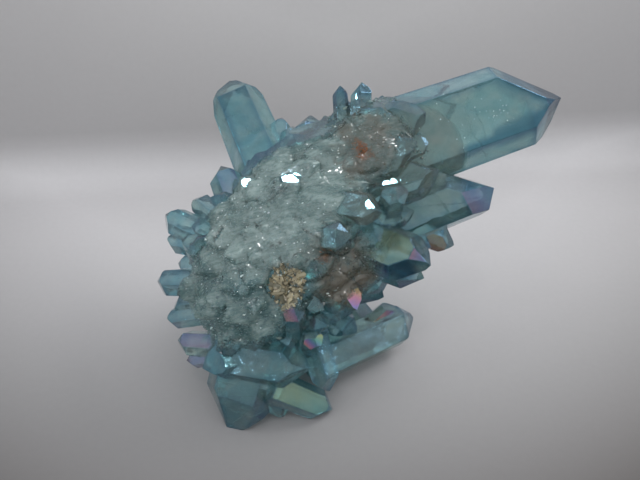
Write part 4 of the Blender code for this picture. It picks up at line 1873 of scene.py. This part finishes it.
@dataclass
class Phantom:
    """The rounded end of older, cloudy growth inside the main point.

    Attributes:
        centre: The middle of its ball, in the layout frame.
        radius: The ball's radius.
        cover: The clear quartz left over it.
        root: Where the main point's axis begins.
        tip: Where it ends.
        half: The room inside the point, half across it and half through it.
    """

    centre: Spot = (13.6, 12.6, -2.2)
    radius: float = 9.0
    cover: float = 0.45
    root: Spot = (-2.5, 10.0, -3.5)
    tip: Spot = (37.7, 23.7, -1.2)
    half: Pair = (6.6, 3.9)

    def room(self, way: Vector) -> float:
        """How far the body may reach one way before it leaves the point."""
        axis = (Vector(self.tip) - Vector(self.root)).normalized()
        across = axis.cross(Vector((0, 0, 1))).normalized()
        over = across.cross(axis)
        start = Vector(self.centre) - Vector(self.root)
        reach = self.radius
        while reach > 0.5:
            spot = start + way * reach
            side, high = spot.dot(across) / self.half[0], spot.dot(over) / self.half[1]
            if side**2 + high**2 < 1:
                break
            reach -= 0.1
        return reach

    def build(
        self, solid: bpy.types.Mesh, material: bpy.types.Material
    ) -> bpy.types.Object:
        """Makes the body.

        Args:
            solid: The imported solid's mesh, which it stays inside.
            material: Its finish.

        Returns:
            The finished piece.
        """
        middle = Vector(LAYOUT.to_row(np.array([self.centre]))[0])
        turn = Matrix(LAYOUT.matrix().tolist())
        mesh = bmesh.new()
        mesh.from_mesh(solid)
        skin = bvhtree.BVHTree.FromBMesh(mesh)
        mesh.free()
        ball = bmesh.new()
        bmesh.ops.create_icosphere(ball, subdivisions=5, radius=1.0)
        for vert in ball.verts:
            way = vert.co.normalized()
            wobble = 1 + 0.05 * noise.noise(way * 2.5)
            reach = self.room(way) * wobble
            way = turn @ way
            _, _, _, skin_gap = skin.ray_cast(middle, way)
            clear = (skin_gap or 0.0) - self.cover * MM
            vert.co = middle + way * max(0.5 * MM, min(clear, reach * MM))
        data = bpy.data.meshes.new("cloudy_heart")
        ball.to_mesh(data)
        ball.free()
        data.shade_smooth()
        return settle(new_object("cloudy_heart", data, material))


# --- the studio ----------------------------------------------------------------------
@dataclass(frozen=True)
class Lamp:
    """One soft area lamp, aimed at a spot.

    Attributes:
        name: The lamp's name.
        place: Where it stands, in millimetres in the row frame.
        size: Its width and height.
        power: In watts.
        colour: Its tint.
        aim: The spot it looks at.
    """

    name: str
    place: Spot
    size: Pair
    power: float
    colour: Colour = (1.0, 1.0, 1.0)
    aim: Spot = (0.0, 0.0, 20.0)

    def light(self) -> None:
        """Hangs the lamp in the scene."""
        lamp = bpy.data.lights.new(self.name, "AREA")
        lamp.shape = "RECTANGLE"
        lamp.size, lamp.size_y = self.size[0] * MM, self.size[1] * MM
        lamp.energy = self.power
        lamp.color = self.colour
        made = bpy.data.objects.new(self.name, lamp)
        bpy.context.scene.collection.objects.link(made)
        place, aim = Vector(self.place) * MM, Vector(self.aim) * MM
        made.location = place
        made.rotation_euler = (aim - place).to_track_quat("-Z", "Y").to_euler()


@dataclass
class Studio:
    """The table, the backdrop, the lamps and the camera.

    Attributes:
        reach: How far the camera stands from the layout origin.
        lens: Its focal length.
        sensor: Its sensor's width.
        table: The paper's colour.
        near: Where the paper begins.
        crease: Where it meets the wall, and how far that line is skewed.
        bend: The radius of its bend.
        tall: The wall's height.
        half: Half the paper's width.
        sky: The room's colour.
        sky_light: The room's brightness.
        lamps: The lamps.
    """

    reach: float = 125.0
    lens: float = 45.0
    sensor: float = 36.0
    table: Colour = (0.97, 0.96, 0.965)
    near: float = -420.0
    crease: Pair = (53.0, 6.0)
    bend: float = 9.0
    tall: float = 54.0
    half: float = 620.0
    sky: Colour = (0.80, 0.82, 0.85)
    sky_light: float = 0.90
    lamps: tuple = (
        Lamp("key_right", (180.0, 80.0, 200.0), (130.0, 130.0), 0.27, aim=(10.0, 10.0, 0.0)),
        Lamp("glint_right", (251.5, -117.8, 40.2), (6.0, 6.0), 0.004),
        Lamp("glint_left", (-170.0, -156.0, 193.5), (10.0, 10.0), 0.027),
        Lamp("glint_side", (-228.0, -103.0, 142.0), (10.0, 10.0), 0.027),
        Lamp("glint_low", (-203.0, -196.0, 56.0), (9.0, 9.0), 0.012),
        Lamp("glint_high", (-89.0, -140.0, 250.0), (5.0, 5.0), 0.007),
        Lamp("glint_roof", (-137.5, -92.0, 254.0), (7.0, 7.0), 0.010),
        Lamp("glint_top", (-21.5, -130.0, 273.5), (10.0, 10.0), 0.027),
    )

    def camera(self) -> None:
        """Stands the camera over the layout origin, looking down its Z."""
        data = bpy.data.cameras.new("camera")
        data.lens, data.sensor_width = self.lens, self.sensor
        data.clip_start, data.clip_end = 1 * MM, 5.0
        made = bpy.data.objects.new("camera", data)
        bpy.context.scene.collection.objects.link(made)
        place = LAYOUT.to_row(np.array([[0.0, 0.0, self.reach]]))[0]
        axes = Matrix(LAYOUT.matrix().tolist()).to_4x4()
        made.matrix_world = Matrix.Translation(Vector(place)) @ axes
        bpy.context.scene.camera = made

    def paper(self) -> None:
        """Lays the pale table and bends it up into a backdrop."""
        far, skewed = self.crease
        flat, steps = far - self.bend, 8
        profile = [(self.near, 0.0), (flat, 0.0)]
        for step in range(1, steps + 1):
            turn = math.radians(90 * step / steps)
            rise = self.bend * (1 - math.cos(turn))
            profile.append((flat + self.bend * math.sin(turn), rise))
        profile.append((far, self.tall))
        spots, faces = [], []
        for y, z in profile:
            for side in (-1, 1):
                skew = skewed / 75.0 * side * self.half if y > 0 else 0.0
                spots.append((side * self.half * MM, (y + skew) * MM, z * MM))
        for k in range(len(profile) - 1):
            faces.append((2 * k, 2 * k + 1, 2 * k + 3, 2 * k + 2))
        data = mesh_of("table", spots, faces)
        data.shade_smooth()
        made = new_object("table", data, Stage(self.table, "pale_paper_painted_light").material())

    def world(self) -> None:
        """Fills the room with even grey light."""
        world = bpy.data.worlds.new("room")
        world.use_nodes = True
        background = world.node_tree.nodes["Background"]
        background.inputs["Color"].default_value = (*self.sky, 1.0)
        background.inputs["Strength"].default_value = self.sky_light
        bpy.context.scene.world = world

    def build(self) -> None:
        """Sets everything up."""
        self.camera()
        self.paper()
        self.world()
        for lamp in self.lamps:
            lamp.light()
        view = bpy.context.scene.view_settings
        view.view_transform = "Standard"
        view.look = "None"


def main() -> None:
    """Builds the cluster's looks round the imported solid."""
    logging.basicConfig(level=logging.INFO, format="%(name)s %(message)s")
    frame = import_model()
    solid = frame["nodes"][NODE]
    effects = Effects.make()

    surface = ClusterSurface()
    skin = surface.build(solid, AuraQuartz().material(effects))
    frost = FrostCrust()
    sheet = frost.build(skin, Frost().material(effects))
    lay_film(surface.plates, FilmPlate().material())

    grounds = {
        Ground.QUARTZ: triangles_of(solid.data),
        Ground.CRUST: triangles_of(sheet.data, frost.top),
    }
    finishes = {
        druse.name: druse.material(effects) for druse in (SUGAR, SHINE, PAINTED_GLINTS, GOLDEN)
    }
    for bed, druse in BEDS:
        bed.build(grounds[bed.ground], finishes[druse.name])

    veil = Veil().material()
    for number, crack in enumerate(CRACKS):
        InnerVeil(f"veil_{number + 1}", *crack).build(veil)
    Phantom().build(solid.data, Milk().material())

    Studio().build()


if __name__ == "__main__":
    main()
